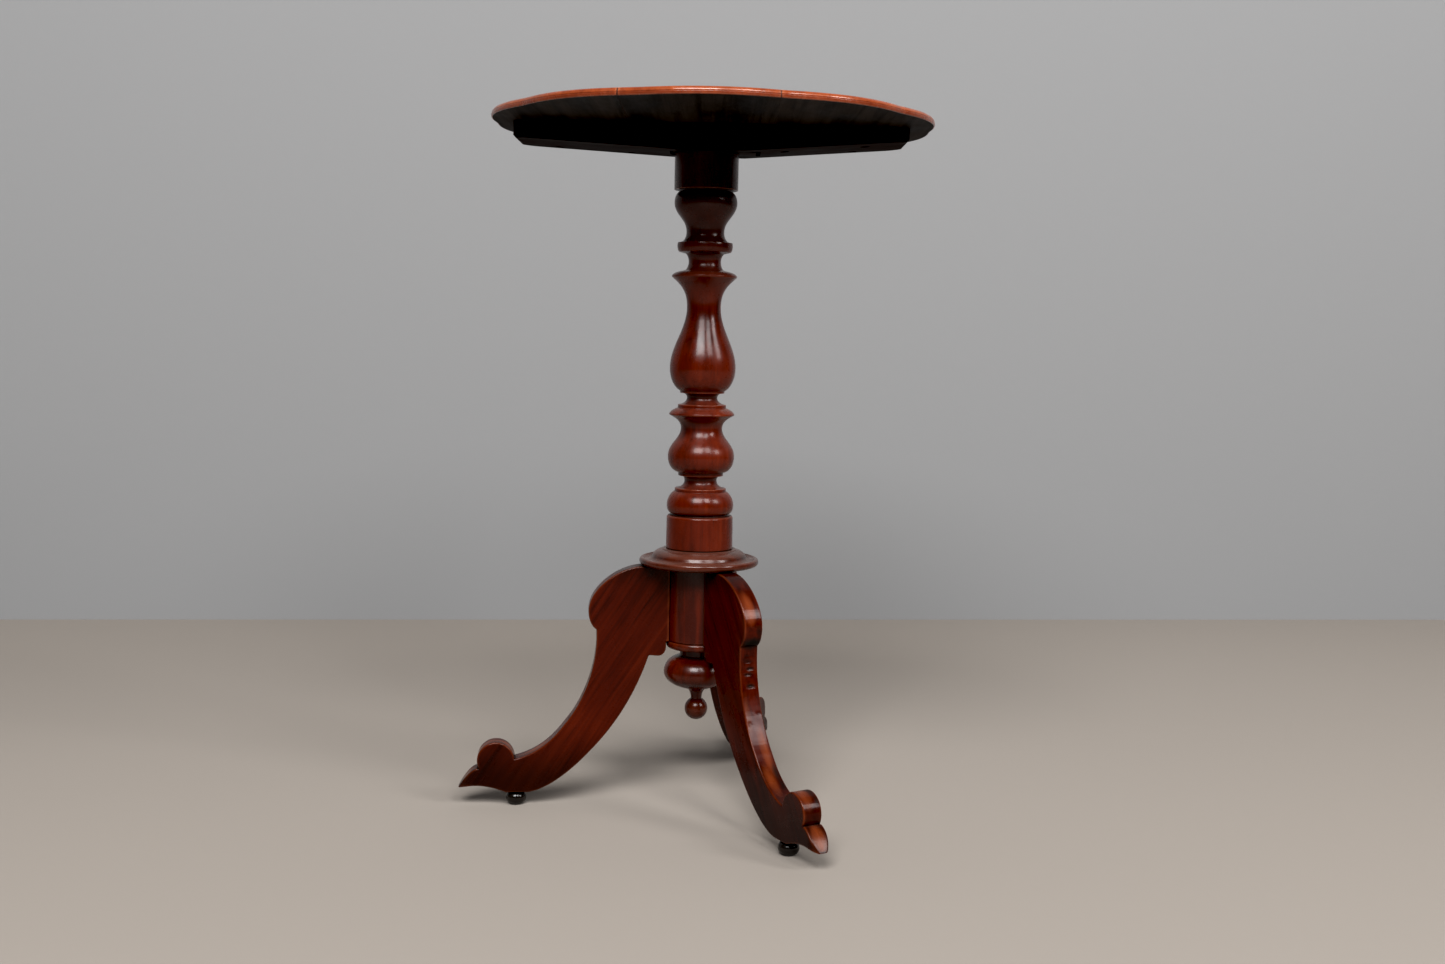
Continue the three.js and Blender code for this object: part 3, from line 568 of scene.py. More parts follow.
# the sawn slot that the wedge spreads
SLOT_HALF = 1.4
SLOT_DEPTH = 16.7
PILLAR_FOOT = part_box("collar")[1].z / MM + GAP
HEAD_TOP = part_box("pivot_block")[0].z / MM - GAP
TENON_TOP = PILLAR_HIGH.z / MM
TENON_FOOT = PILLAR_LOW.z / MM
PILLAR_STEPS = [
    (0, TENON_FOOT),
    (FOOT_TENON, TENON_FOOT),
    (FOOT_TENON, PILLAR_FOOT),
    # base drum
    (BASE_RADIUS - 0.5, PILLAR_FOOT),
    (BASE_RADIUS, PILLAR_FOOT + 0.5),
    (BASE_RADIUS - 0.3, 304.6),
    (33.4, 306),
    (29.4, 306.6),
    (29.4, 308),
    # torus and fillet
    (33.5, 308.5, 35.2, 314, 34.5, 319),
    (34, 324, 31, 329, 27.2, 331.2),
    (26.6, 331.2),
    (26.6, 334.6),
    # cove and fillet
    (15, 335, 14.5, 346.5, 20.5, 347.6),
    (23.4, 347.6),
    (23.4, 351),
    # lower bulb, neck and sharp ring
    (32, 352.5, 34.8, 362, 34.4, 368.7),
    (33.8, 381, 21.4, 386, 21.4, 396.8),
    (21.4, 403, 25.5, 406.5, 33.8, 410.6),
    (33.8, 411.9),
    (31, 416, 28, 416.5, 25, 418),
    (24.9, 421.3),
    # cove and fillet
    (14, 422.2, 13.2, 432, 20.2, 433.2),
    (23, 433.2),
    (23, 435.4),
    # vase
    (30, 439, 34, 449, 34, 459),
    (34, 481, 17.4, 499, 17.4, 520.6),
    (17.4, 538, 24, 544, 33.5, 552),
    (33.5, 553.5),
    # ring top, neck and disc
    (30, 558, 24, 557.5, 19.2, 559.4),
    (15.6, 564.5, 15.6, 571, 19.4, 575.8),
    (26.6, 577.6),
    (28.6, 579.5, 28.8, 584.5, 28, 587),
    (24, 587.8),
    # upper bulb and groove
    (18.5, 591, 18, 601, 22, 607.4),
    (26, 614, 32.2, 619, 32.2, 627.5),
    (32.2, 632, 30.5, 636.6, 27.6, 638.2),
    (27.6, 640.2),
    # head drum and tenon
    (HEAD_RADIUS, 640.2),
    (HEAD_RADIUS, HEAD_TOP),
    (HEAD_TENON, HEAD_TOP),
    (HEAD_TENON, TENON_TOP),
    (0, TENON_TOP),
]


def make_pillar():
    points = soften(trace(PILLAR_STEPS), 0.7, closed=False)
    pillar = turned("pillar_turning", points, 128)
    slot_low = (AXIS_X - SLOT_HALF, AXIS_Y - 20, TENON_TOP - SLOT_DEPTH)
    slot_high = (AXIS_X + SLOT_HALF, AXIS_Y + 20, TENON_TOP + 5)
    cut_out(pillar, [block("slot", slot_low, slot_high)])
    shade_smooth(pillar)
    finish_piece(pillar, "base", ["pillar"], [PILLAR_MAHOGANY])


# ---------------------------------------------------------------- collar, hub, finial
COLLAR_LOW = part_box("collar")[0].z / MM
HUB_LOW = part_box("leg_hub")[0].z / MM
HUB_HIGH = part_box("leg_hub")[1].z / MM
HUB_RADIUS = 31.4
HUB_RING_TOP = 174.2
FINIAL_TENON = 8
FINIAL_TENON_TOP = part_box("drop_finial")[1].z / MM


def make_collar():
    hole = FOOT_TENON + GAP
    top = PILLAR_FOOT - GAP
    steps = [
        (hole, COLLAR_LOW),
        (54, COLLAR_LOW),
        (60.4, 253.8, 62.3, 255.6, 62.2, 258.4),
        (62.1, 260.8, 60.8, 261.7, 58.8, 261.7),
        (56.6, 260.3),
        (53, 259.9, 50, 260.8, 48.9, 263.4),
        (47.9, 267, 44, 269.4, 39, 270.2),
        (37.8, top),
        (hole, top),
    ]
    points = soften(trace(steps), 0.7, closed=True)
    collar = turned("collar_turning", points, 144, closed=True)
    finish_piece(collar, "base", ["collar"], [COLLAR_MAHOGANY], along=(1, 0, 0))


def make_hub():
    """The hub, with a socket from above for the pillar and one from below for the finial."""
    low_socket = FINIAL_TENON + GAP
    high_socket = FOOT_TENON + GAP
    steps = [
        (0, FINIAL_TENON_TOP + GAP),
        (low_socket, FINIAL_TENON_TOP + GAP),
        (low_socket, HUB_LOW),
        (29.6, HUB_LOW),
        (33.6, HUB_LOW + 0.7, 33.4, HUB_RING_TOP - 0.5, HUB_RADIUS - 0.9, HUB_RING_TOP),
        (HUB_RADIUS, HUB_RING_TOP + 1.2),
        (HUB_RADIUS, HUB_HIGH),
        (high_socket, HUB_HIGH),
        (high_socket, TENON_FOOT - GAP),
        (0, TENON_FOOT - GAP),
    ]
    hub = turned("leg_hub_turning", soften(trace(steps), 0.5, closed=False), 112)
    finish_piece(hub, "base", ["leg_hub"], [HUB_MAHOGANY])


def make_finial():
    ball, ball_height, neck = 12, 101.2, 5.7
    steps = [
        (0, ball_height, ball, -90, math.degrees(math.acos(neck / ball))),
        (5.6, 116, 7, 122, 11.5, 123.4),
        (20, 124.8, 34.6, 129.8, 34.6, 140.4),
        (34.6, 149.4, 28, 156.4, 19.4, 157.4),
        (18, 158.4),
        (18, HUB_LOW - GAP),
        (FINIAL_TENON, HUB_LOW - GAP),
        (FINIAL_TENON, FINIAL_TENON_TOP),
        (0, FINIAL_TENON_TOP),
    ]
    finial = turned("drop_finial_turning", soften(trace(steps, 20), 0.4, closed=False), 96)
    finish_piece(finial, "base", ["drop_finial"], [FINIAL_MAHOGANY])


# ---------------------------------------------------------------- legs and feet
LEG_HALF = 10.25
LEG_ARRIS = 1.5
# the toe's tip narrows like the end of an ellipse, between these distances from the pillar's axis
TOE_START = 235
TOE_ROUNDING = 13
PAD_HEIGHT = 14.2
FOOT_REACH = 187.5
FOOT_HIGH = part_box("foot_left")[1].z / MM
PEG_RADIUS = 3
HUB_CLEAR = HUB_RADIUS + GAP
# the bruised part of the outer edge
BRUISED_LOW = 84
BRUISED_HIGH = 184
BRUISED_OUT = 104
LEG_STEPS = [
    (HUB_CLEAR, HUB_HIGH),
    (60, HUB_HIGH),
    # shoulder and the notch under it
    (84, 252, 114.6, 229, 114.4, 205.5),
    (114.4, 196.5, 110.5, 189, 106, 186.6),
    # outer edge down to the scroll
    (103.5, 152, 116, 112, 138.5, 85.6),
    (152, 67, 168, 55, 189.4, 49.6),
    (208.7, 48.1, 19.3, 175.6, -28),
    # toe, and the arch between its tip and the foot
    (228, 40),
    (234, 38.3, 240.6, 31.2, 247.2, 19.1),
    (246.6, 18.6),
    (238, 21.5, 222, 24.5, 198, PAD_HEIGHT),
    (177, PAD_HEIGHT),
    # inner edge up to the heel beside the hub
    (158, 15.5, 134, 33, 110.9, 58.1),
    (88, 82, 66, 114, 51.3, 159.4),
    (41, 158.8),
    (36.7, 159.3, 34.1, 162.2, 33.4, 167.5),
    (33.4, HUB_RING_TOP - GAP),
    (HUB_CLEAR, HUB_RING_TOP - GAP),
]
# bruises on the front leg's outer edge: (height, across, reach up and down, reach across, depth)
FRONT_BRUISES = [
    (177, 0, 1.0, 6, 0.6),
    (171, -1, 1.5, 7, 1.0),
    (164, 1.5, 1.5, 6.5, 1.4),
    (158.5, -1.5, 1.4, 6, 1.3),
    (147, 1.0, 2.0, 6, 1.5),
    (121, 6, 2.4, 3, 0.5),
    (112, -6, 3.0, 3, 0.4),
]
# patches on an outer edge: (height, across, reach up and down, reach across, strength)
FRONT_RUBBED = [
    (88, 3, 30, 7, 0.75),
    (66, -3, 16, 8, 0.7),
    (224, -3, 20, 9, 0.85),
    (122, -7, 26, 5, 0.6),
    (30, 0, 14, 10, 0.95),
]
# darker patches on an outer edge, in the same columns; the first sits in the notch under the shoulder
FRONT_DARKENED = [
    (190, 1, 8, 14, 1.3),
    (70, 6, 9, 4, 0.9),
    (61, 7, 5, 3, 0.9),
    (203, 6, 8, 4, 0.5),
]
SIDE_RUBBED = [
    (60, 0, 12, 8, 0.8),
    (33, 0, 9, 9, 0.9),
    (212, 0, 26, 8, 0.6),
]
SIDE_DARKENED = [
    (187, 0, 6, 13, 0.8),
]
SIDE_BRUISES = [
    (171, 5, 2.5, 5, 0.8),
    (122, -4, 3.0, 5, 0.8),
    (92, 5, 2.5, 4, 0.7),
]


def bruise_depth(height, across, bruises):
    """How far the outer edge is pushed in at one place."""
    depth = 0
    for up, side, reach_up, reach_side, deep in bruises:
        away = ((height - up) / reach_up) ** 2 + ((across - side) / reach_side) ** 2
        if away < 1:
            depth = max(depth, deep * (1 - away) ** 1.5)
    return depth


def patch_amount(height, across, patches):
    """The strongest of several soft patches at one place."""
    amount = 0
    for up, side, reach_up, reach_side, strength in patches:
        away = ((height - up) / reach_up) ** 2 + ((across - side) / reach_side) ** 2
        amount = max(amount, strength * max(0, 1 - away))
    return amount


def mark_outer_edge(leg, turn, rubbed, darkening):
    """Adds patches of wear and of darkening to a leg's outer edge."""
    wear = leg.data.attributes["wear"].data
    dirt = leg.data.attributes["dirt"].data
    for i, vertex in enumerate(leg.data.vertices):
        x, y, height = vertex.co.x / MM - AXIS_X, vertex.co.y / MM - AXIS_Y, vertex.co.z / MM
        out = x * math.cos(turn) + y * math.sin(turn)
        across = y * math.cos(turn) - x * math.sin(turn)
        inner_side = out < 75 + (186 - height) * 0.45
        on_face = abs(across) > LEG_HALF - 0.3
        if inner_side or on_face or height < 20:
            continue
        wear[i].value = max(wear[i].value, patch_amount(height, across, rubbed))
        dirt[i].value = max(dirt[i].value, patch_amount(height, across, darkening))


def make_leg(place, azimuth, bruises, rubbed, darkening):
    """A sawn leg and its ball foot. Its bruises are dirty too."""
    turn = math.radians(azimuth)

    def put(u, v, w):
        """Places a point that is u out from the axis, v up and w across."""
        if u < HUB_CLEAR + 0.8:
            u = u - HUB_CLEAR + math.sqrt(HUB_CLEAR ** 2 - w ** 2)
        if u > TOE_START:
            w *= math.sqrt(1 - ((u - TOE_START) / TOE_ROUNDING) ** 2)
        if BRUISED_LOW < v < BRUISED_HIGH and BRUISED_OUT + (186 - v) * 0.02 < u < 140:
            u -= bruise_depth(v, w, bruises)
        x = AXIS_X + u * math.cos(turn) - w * math.sin(turn)
        y = AXIS_Y + u * math.sin(turn) + w * math.cos(turn)
        return x, y, v

    outline = subdivided(soften(trace(LEG_STEPS, 22), 1.4, closed=True), 1.6)
    leg = stacked(f"leg_{place}_board", outline, rounded_layers(LEG_HALF, LEG_ARRIS, 10), put)
    along = (math.cos(turn) * 0.55, math.sin(turn) * 0.55, -0.83)
    peg_x = AXIS_X + FOOT_REACH * math.cos(turn)
    peg_y = AXIS_Y + FOOT_REACH * math.sin(turn)
    bore = PEG_RADIUS + GAP
    hole_steps = [(0, 0), (bore, 0), (bore, FOOT_HIGH + 1), (0, FOOT_HIGH + 1)]
    cut_out(leg, [turned("hole", hole_steps, 32, (peg_x, peg_y))])
    shade_smooth(leg)
    finish_piece(leg, "base", [f"leg_{place}"], [LEG_MAHOGANY], along)
    dirty = [(up, side, 1.3 * tall, wide, deep * 0.75) for up, side, tall, wide, deep in bruises]
    mark_outer_edge(leg, turn, rubbed, darkening + dirty)

    foot_steps = [
        (0, 0),
        (4, 0),
        (8.4, 0.2, 10.6, 3.4, 10.6, 7),
        (10.6, 10.6, 8.2, 13.2, 5, PAD_HEIGHT - GAP),
        (PEG_RADIUS, PAD_HEIGHT - GAP),
        (PEG_RADIUS, FOOT_HIGH),
        (0, FOOT_HIGH),
    ]
    foot_profile = soften(trace(foot_steps, 12), 0.3, closed=False)
    foot = turned(f"foot_{place}_ball", foot_profile, 64, (peg_x, peg_y))
    finish_piece(foot, "base", [f"foot_{place}"], [EBONISED])


# ---------------------------------------------------------------- top
TOP_LEFT_LOW, TOP_LEFT_HIGH = (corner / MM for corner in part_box("top_board_left"))
TOP_RIGHT_LOW, TOP_RIGHT_HIGH = (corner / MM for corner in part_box("top_board_right"))
TOP_X = (TOP_LEFT_LOW.x + TOP_RIGHT_HIGH.x) / 2
TOP_LOW = TOP_LEFT_LOW.z
TOP_RADIUS = 225
LOBES = 10
LOBE_DEPTH = 4.4
LOBE_SOFTNESS = 0.025
# where the boards meet, and half the gap that shows there
BOARD_JOINTS = ((TOP_LEFT_HIGH.x + GAP / 2, 0.12), (TOP_RIGHT_LOW.x - GAP / 2, 0.02))
# the bead's height above the underside
BEAD_TOP = 3.2
# above this the moulded edge turns into the top's face
FACE_ROUNDING = 6.5
# the moulded edge, from the underside up: (height above the underside, inset)
EDGE_LAYERS = [
    # underside
    (0.0, 14.0), (0.0, 7.0), (0.0, 3.0), (0.0, 1.2),
    # bead and step
    (0.15, 0.6), (0.5, 0.2), (1.1, 0.0), (1.9, 0.0), (2.7, 0.0), (3.0, 0.1), (3.2, 0.45), (3.4, 0.55),
    # ovolo
    (3.65, 0.45), (4.1, 0.42), (4.8, 0.6), (5.5, 0.95), (6.2, 1.5), (6.8, 2.2), (7.25, 3.1), (7.5, 4.0),
    # upper face
    (7.6, 5.2), (7.6, 8.0), (7.6, 13.0), (7.6, 20.0),
]


def top_outline(count=720):
    """Ten shallow convex lobes that meet in soft hollows."""
    hollow, crown = math.sqrt(LOBE_SOFTNESS), math.sqrt(1 + LOBE_SOFTNESS)
    points = []
    for i in range(count):
        angle = 2 * math.pi * i / count
        wave = math.sqrt(math.cos(LOBES / 2 * (angle + math.pi / 2)) ** 2 + LOBE_SOFTNESS)
        radius = TOP_RADIUS - LOBE_DEPTH * (1 - (wave - hollow) / (crown - hollow))
        points.append((TOP_X + radius * math.cos(angle), AXIS_Y + radius * math.sin(angle)))
    return points


def make_top():
    """Three boards sliced from one moulded disc, each with its polished face and dark underside."""
    (left_joint, left_gap), (right_joint, right_gap) = BOARD_JOINTS
    spans = {
        "left": (TOP_X - 2 * TOP_RADIUS, left_joint - left_gap),
        "middle": (left_joint + left_gap, right_joint - right_gap),
        "right": (right_joint + right_gap, TOP_X + 2 * TOP_RADIUS),
    }
    layers = [(TOP_LOW + height, inset) for height, inset in EDGE_LAYERS]
    for place, (low, high) in spans.items():
        board = stacked(f"top_{place}_board", top_outline(), layers, lambda u, v, w: (u, v, w))
        shape = bmesh.new()
        shape.from_mesh(board.data)
        for edge, side in ((low, -1), (high, 1)):
            where = Vector((edge * MM, 0, 0))
            everything = shape.verts[:] + shape.edges[:] + shape.faces[:]
            sliced = bmesh.ops.bisect_plane(
                shape, geom=everything, plane_co=where, plane_no=(side, 0, 0), clear_outer=True)
            rim = [item for item in sliced["geom_cut"] if isinstance(item, bmesh.types.BMEdge)]
            if rim:
                bmesh.ops.holes_fill(shape, edges=rim)
        shape.to_mesh(board.data)
        shape.free()
        for material in (TOP_POLISH, UNDERSIDE, RIM_POLISH, BEAD_POLISH):
            board.data.materials.append(material)
        for face in board.data.polygons:
            face.material_index = top_finish(face.center.z / MM - TOP_LOW, face.normal.z)
            # the flat faces of a joint keep their edges sharp
            face.use_smooth = not on_joint(face.center.x)
        finish_piece(board, "top", [f"top_board_{place}"], [], along=(0, 1, 0))
        clear_face_marks(board)


def on_joint(x):
    """Whether a place, in metres, is at one of the joints between the boards."""
    return min(abs(x / MM - joint) for joint, _ in BOARD_JOINTS) < 0.3


def top_finish(height, facing):
    """Which of the top's materials a face has: its upper face, its underside, the ovolo or the bead."""
    if facing > 0.95:
        return 0
    if facing < -0.7 and height < 0.02:
        return 1
    return 2 if height > BEAD_TOP else 3


def clear_face_marks(board):
    """Takes the marks off the top's faces, and puts grime where the boards meet at the moulded edge."""
    middle = Vector((TOP_X, AXIS_Y)) * MM
    face_radius = (TOP_RADIUS - LOBE_DEPTH - 6) * MM
    wear, dirt = board.data.attributes["wear"].data, board.data.attributes["dirt"].data
    for i, vertex in enumerate(board.data.vertices):
        if (vertex.co.xy - middle).length < face_radius:
            wear[i].value = dirt[i].value = 0
        elif on_joint(vertex.co.x) and vertex.co.z / MM < TOP_LOW + FACE_ROUNDING:
            wear[i].value = 0
            dirt[i].value = 1


# ---------------------------------------------------------------- bearer and its screws
BEARER_LOW, BEARER_HIGH = (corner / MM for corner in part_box("bearer"))
BEARER_X = (BEARER_LOW.x + BEARER_HIGH.x) / 2
BEARER_HALF = (BEARER_HIGH.x - BEARER_LOW.x) / 2
BEARER_FLAT = 35
BEARER_LEFT_THICK = 17
BEARER_RIGHT_THICK = 13.6
BEARER_CORNER = 20
BEARER_CHAMFER = 4
MORTISE_HALF = 15
# room in the mortise to the left and right of the block
MORTISE_ROOM = 4.5
# the wood that is left below the catch's recess
RECESS_FLOOR = 8
# far enough to pass right through the plank
THROUGH = 60
# from the pillar's axis
SCREW_SPOTS = [(-153, 27), (-78, 29), (79, -6), (160, -11), (150, 27)]
SEAT_RADIUS = 4.8
SEAT_DEPTH = 6
SHANK_RADIUS = 2.5
BLOCK_LOW, BLOCK_HIGH = (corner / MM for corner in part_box("pivot_block"))
CASE_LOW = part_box("catch_case")[0] / MM
KNOB_LOW, KNOB_HIGH = (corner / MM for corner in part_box("catch_knob"))
STEM_X = (KNOB_LOW.x + KNOB_HIGH.x) / 2
STEM_Z = (KNOB_LOW.z + KNOB_HIGH.z) / 2


def bearer_underside(x):
    run = max(0, abs(x - BEARER_X) - BEARER_FLAT) / (BEARER_HALF - BEARER_FLAT)
    end_thick = BEARER_LEFT_THICK if x < BEARER_X else BEARER_RIGHT_THICK
    return BEARER_LOW.z + run * (BEARER_HIGH.z - end_thick - BEARER_LOW.z)


def make_bearer():
    """The tapered plank with its mortise, the catch's recess, the stem's slot and the screw holes."""
    left, right, top = BEARER_LOW.x, BEARER_HIGH.x, BEARER_HIGH.z
    left_in, right_in = left + BEARER_CHAMFER, right - BEARER_CHAMFER
    side = [
        (left, top),
        (left, bearer_underside(left) + BEARER_CHAMFER),
        (left_in, bearer_underside(left_in)),
        (BEARER_X - BEARER_FLAT, BEARER_LOW.z), (BEARER_X + BEARER_FLAT, BEARER_LOW.z),
        (right_in, bearer_underside(right_in)),
        (right, bearer_underside(right) + BEARER_CHAMFER),
        (right, top),
    ]
    front, back = BEARER_LOW.y, BEARER_HIGH.y
    bearer = stacked("bearer_plank", side, [(front, 0), (back, 0)], lambda u, v, w: (u, w, v))
    r = BEARER_CORNER
    plan = [
        *arc((right - r, back - r), r, 0, 90, 10), *arc((left + r, back - r), r, 90, 180, 10),
        *arc((left + r, front + r), r, 180, 270, 10), *arc((right - r, front + r), r, 270, 360, 10),
    ]
    prism = stacked("plan", plan, [(top - THROUGH, 0), (top + 20, 0)], lambda u, v, w: (u, v, w))
    apply_boolean(bearer, prism, "INTERSECT")
    mortise_left, mortise_right = BLOCK_LOW.x - MORTISE_ROOM, BLOCK_HIGH.x + MORTISE_ROOM
    inner_front, inner_back = AXIS_Y - MORTISE_HALF, AXIS_Y + MORTISE_HALF
    above = top + 10
    hollows = {
        "mortise": ((mortise_left, inner_front, top - THROUGH), (mortise_right, inner_back, above)),
        "catch_recess": (
            (CASE_LOW.x - 3, inner_front, BEARER_LOW.z + RECESS_FLOOR),
            (mortise_left + 1, inner_back, above),
        ),
        "stem_slot": ((STEM_X - 2.3, inner_back - 1, STEM_Z - 2.2), (STEM_X + 10.3, back + 5, above)),
    }
    cut_out(bearer, [block(name, low, high) for name, (low, high) in hollows.items()])
    for x, y in SCREW_SPOTS:
        seat = bearer_underside(AXIS_X + x) + SEAT_DEPTH
        hole = [
            (0, top - THROUGH), (SEAT_RADIUS, top - THROUGH), (SEAT_RADIUS, seat),
            (SHANK_RADIUS, seat), (SHANK_RADIUS, top + 5), (0, top + 5),
        ]
        cut_out(bearer, [turned("hole", hole, 32, (AXIS_X + x, AXIS_Y + y))])
    round_edges(bearer, 0.9)
    finish_piece(bearer, "top", ["bearer"], [BEARER_WOOD], along=(1, 0, 0))


def make_screws():
    """Slotted screws, each with its slot turned differently."""
    for i, (x, y) in enumerate(SCREW_SPOTS):
        low, high = (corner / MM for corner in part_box(f"bearer_screw_{i + 1}"))
        steps = [
            (0, low.z), (4.0, low.z), (4.1, low.z + 0.8), (2.1, low.z + 3.2), (2.1, high.z - 3), (0, high.z),
        ]
        spot = (AXIS_X + x, AXIS_Y + y)
        screw = turned(f"bearer_screw_{i + 1}_fine", soften(steps, 0.15, closed=False), 32, spot)
        slot = block("slot", (-0.6, -6, low.z - 1), (0.6, 6, low.z + 1.2))
        slot.rotation_euler.z = 0.6 * i
        slot.location = (spot[0] * MM, spot[1] * MM, 0)
        bpy.context.view_layer.update()
        cut_out(screw, [slot])
        finish_piece(screw, "top", [f"bearer_screw_{i + 1}"], [IRON], weighted=False)


# ---------------------------------------------------------------- smaller pieces
# name: (body, slot name, material, direction of the grain, width of its rounded edges)
REFINED = {
    "pivot_block": ("base", "block_wood", BLOCK_WOOD, (1, 0, 0), 0.6),
    "tenon_wedge": ("base", "block_wood", BLOCK_WOOD, (0, 0, 1), 0.2),
    "pivot_rod": ("base", "iron", IRON, (0, 1, 0), 0.3),
    "catch_case": ("top", "catch_brass", BRASS, (1, 0, 0), 0.25),
    "catch_screw_1": ("top", "catch_brass", BRASS, (0, 0, 1), 0.15),
    "catch_screw_2": ("top", "catch_brass", BRASS, (0, 0, 1), 0.15),
    "catch_bolt": ("catch", "catch_brass", BRASS, (1, 0, 0), 0.3),
    "catch_keeper": ("base", "catch_brass", BRASS, (0, 0, 1), 0.2),
    "keeper_screw_1": ("base", "catch_brass", BRASS, (1, 0, 0), 0.15),
    "keeper_screw_2": ("base", "catch_brass", BRASS, (1, 0, 0), 0.15),
}
REFINED |= {
    f"dowel_{place}_{level}": ("base", "block_wood", BLOCK_WOOD, (0, 0, 1), 0.3)
    for place in ("left", "front", "back") for level in ("lower", "upper")
}


def refine(name, body, slot_name, material, along, width):
    """Takes a node's own shape, and rounds its edges."""
    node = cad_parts[name]
    shape = bmesh.new()
    shape.from_mesh(node.data)
    shape.transform(node.matrix_world)
    bmesh.ops.remove_doubles(shape, verts=shape.verts, dist=1e-6)
    bmesh.ops.dissolve_limit(shape, angle_limit=math.radians(1), verts=shape.verts, edges=shape.edges)
    piece = link_mesh(f"{name}_fine", shape)
    round_edges(piece, width, 2)
    finish_piece(piece, body, [name], [material], along)


def laid_back(name, points, x, z, front):
    """Revolves (radius, distance) points about a level axis that runs back from front."""
    piece = turned(name, points, 48, (0, 0))
    turn = Matrix.Rotation(-math.pi / 2, 4, "X")
    piece.data.transform(Matrix.Translation(Vector((x, front, z)) * MM) @ turn)
    return piece


def make_knob():
    """The catch's knob and stem, along y behind the bolt."""
    length = KNOB_HIGH.y - KNOB_LOW.y
    stem, neck = 1.7, BEARER_HIGH.y + 1.5 - KNOB_LOW.y
    steps = [
        (0, 0),
        (stem, 0),
        (stem, neck),
        (2.4, neck + 1),
        (4.5, neck + 2, 4.5, length - 0.4, 0, length),
    ]
    knob = laid_back("catch_knob_fine", soften(trace(steps), 0.2, closed=False), STEM_X, STEM_Z, KNOB_LOW.y)
    finish_piece(knob, "catch", ["catch_knob"], [BRASS], along=(0, 1, 0))


def make_plugs():
    """The wooden plugs that close the ends of the pivot's holes."""
    for place in ("front", "back"):
        low, high = (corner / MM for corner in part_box(f"pivot_plug_{place}"))
        radius, length = (high.z - low.z) / 2, high.y - low.y
        bevel = 0.3
        steps = [
            (0, 0), (radius - bevel, 0), (radius, bevel),
            (radius, length - bevel), (radius - bevel, length), (0, length),
        ]
        x, z = (low.x + high.x) / 2, (low.z + high.z) / 2
        plug = laid_back(f"pivot_plug_{place}_fine", steps, x, z, low.y)
        finish_piece(plug, "top", [f"pivot_plug_{place}"], [BEARER_WOOD], along=(0, 1, 0))


# ---------------------------------------------------------------- studio
AIM = Vector((AXIS_X, AXIS_Y, 0)) * MM
CAMERA_SIDE = 23.0 * MM
CAMERA_BACK = 1606.5 * MM
CAMERA_HEIGHT = 495 * MM
CAMERA_PITCH = 0.0955
CAMERA_ROLL = 0.0214
PICTURE_WIDTH, FOCAL_PIXELS = 1445, 1550
BACKDROP_TURN = math.radians(6.6)
# a contrasty print, with deep blacks
GAMMA = 0.87
BLACK_LEVEL = 0.008
# distances in metres: the wall behind the table, its height, and how far the floor and wall reach
WALL_BACK = 1.035
WALL_HEIGHT = 3.2
ROOM_REACH = 9.0
FLOOR_COLOUR = (0.365, 0.327, 0.292)
WALL_COLOUR = (0.325, 0.327, 0.332)
WORLD_COLOUR = (0.04, 0.04, 0.042)
# name: (azimuth, elevation, distance, width, height, radiance)
SOFT_LIGHTS = {
    "window_left": (-11, 43, 4.6, 2.2, 2.2, 15.5),
    "window_right": (30, 43, 4.6, 1.3, 2.2, 11.0),
    "window_side": (64, 31, 4.6, 1.2, 1.6, 12.0),
}


def make_camera():
    data = bpy.data.cameras.new("camera")
    data.sensor_width = 36
    data.lens = data.sensor_width * FOCAL_PIXELS / PICTURE_WIDTH
    camera = bpy.data.objects.new("camera", data)
    camera.location = AIM + Vector((CAMERA_SIDE, -CAMERA_BACK, CAMERA_HEIGHT))
    look = Vector((0, math.cos(CAMERA_PITCH), -math.sin(CAMERA_PITCH)))
    camera.rotation_mode = "QUATERNION"
    camera.rotation_quaternion = look.to_track_quat("-Z", "Y") @ Quaternion((0, 0, 1), CAMERA_ROLL)
    bpy.context.scene.collection.objects.link(camera)
    bpy.context.scene.camera = camera


def soft_light(name, azimuth, elevation, distance, width, height, radiance):
    """A soft panel round the table: azimuth 0 is in front of it and 90 to its right."""
    turn, lift = math.radians(azimuth), math.radians(elevation)
    target = AIM + Vector((0, 0, 0.4))
    away = Vector((math.sin(turn) * math.cos(lift), -math.cos(turn) * math.cos(lift), math.sin(lift)))
    data = bpy.data.lights.new(name, "AREA")
    data.shape = "RECTANGLE"
    data.size = width
    data.size_y = height
    data.energy = radiance * math.pi * width * height
    light = bpy.data.objects.new(name, data)
    light.location = target + away * distance
    light.rotation_mode = "QUATERNION"
    light.rotation_quaternion = (-away).to_track_quat("-Z", "Y")
    bpy.context.scene.collection.objects.link(light)


def plain(name, colour, roughness):
    r = Recipe(name)
    return r.finish(Base_Color=colour, Roughness=roughness, Specular_IOR_Level=0.3)


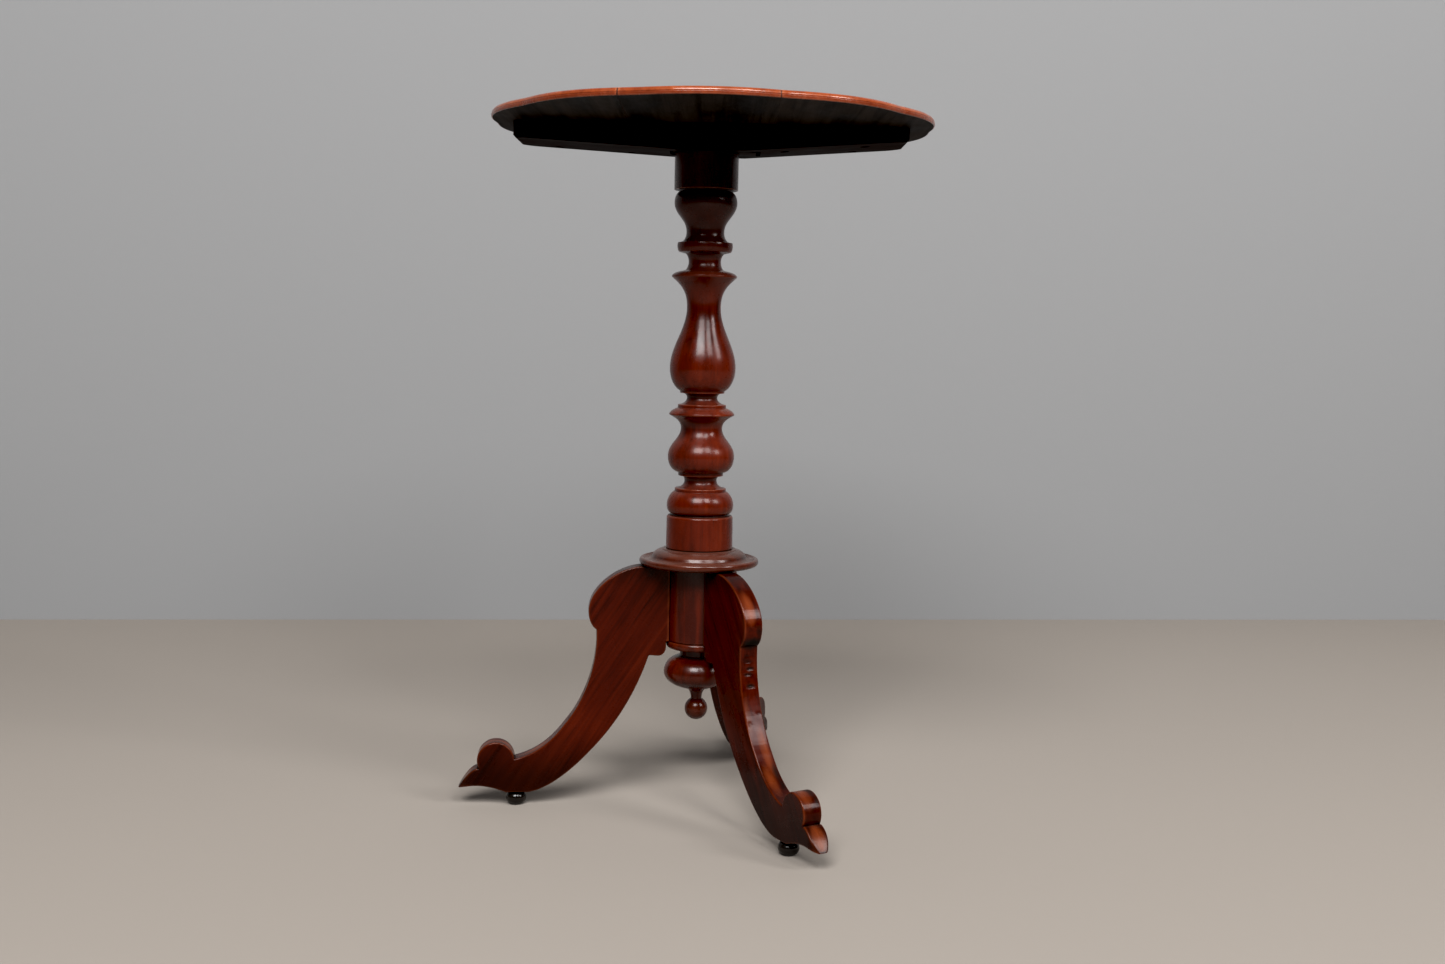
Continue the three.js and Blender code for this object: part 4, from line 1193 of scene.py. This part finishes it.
def see_through_back(material):
    """Makes a surface that is seen from its front only, so that the wall never hides the table."""
    tree = material.node_tree
    output = tree.nodes["Material Output"]
    surface = tree.nodes["Principled BSDF"].outputs[0]
    clear = tree.nodes.new("ShaderNodeBsdfTransparent").outputs[0]
    side = tree.nodes.new("ShaderNodeNewGeometry").outputs["Backfacing"]
    mix = tree.nodes.new("ShaderNodeMixShader")
    for socket, link in zip(mix.inputs, (side, surface, clear)):
        tree.links.new(link, socket)
    tree.links.new(mix.outputs[0], output.inputs["Surface"])
    return material


def flat_sheet(name, corners, material):
    """A flat sheet of the studio, turned about the vertical."""
    shape = bmesh.new()
    shape.faces.new([shape.verts.new(corner) for corner in corners])
    mesh = bpy.data.meshes.new(name)
    shape.to_mesh(mesh)
    shape.free()
    mesh.transform(Matrix.Rotation(BACKDROP_TURN, 4, "Z"))
    mesh.materials.append(material)
    sheet = bpy.data.objects.new(name, mesh)
    bpy.context.scene.collection.objects.link(sheet)


def make_studio():
    far = ROOM_REACH
    floor = [(-far, -far, 0), (far, -far, 0), (far, far, 0), (-far, far, 0)]
    flat_sheet("studio_floor", floor, plain("pale_floor", FLOOR_COLOUR, 0.85))
    low_edge = [(-far, WALL_BACK, 0), (far, WALL_BACK, 0)]
    high_edge = [(far, WALL_BACK, WALL_HEIGHT), (-far, WALL_BACK, WALL_HEIGHT)]
    grey = see_through_back(plain("grey_backdrop", WALL_COLOUR, 0.85))
    flat_sheet("studio_wall", low_edge + high_edge, grey)
    for name, settings in SOFT_LIGHTS.items():
        soft_light(name, *settings)
    world = bpy.data.worlds.new("studio")
    world.use_nodes = True
    world.node_tree.nodes["Background"].inputs["Color"].default_value = (*WORLD_COLOUR, 1)
    scene = bpy.context.scene
    scene.world = world
    look = scene.view_settings
    look.view_transform = "Standard"
    look.gamma = GAMMA
    look.use_curve_mapping = True
    look.curve_mapping.black_level = (BLACK_LEVEL, BLACK_LEVEL, BLACK_LEVEL)
    look.curve_mapping.update()


make_camera()
make_pillar()
make_collar()
make_hub()
make_finial()
# azimuths in degrees, anticlockwise from +X
make_leg("left", 186, SIDE_BRUISES, SIDE_RUBBED, SIDE_DARKENED)
make_leg("front", -60, FRONT_BRUISES, FRONT_RUBBED, FRONT_DARKENED)
make_leg("back", 72, SIDE_BRUISES, SIDE_RUBBED, SIDE_DARKENED)
make_top()
make_bearer()
make_screws()
make_knob()
make_plugs()
for piece_name, settings in REFINED.items():
    refine(piece_name, *settings)
make_studio()
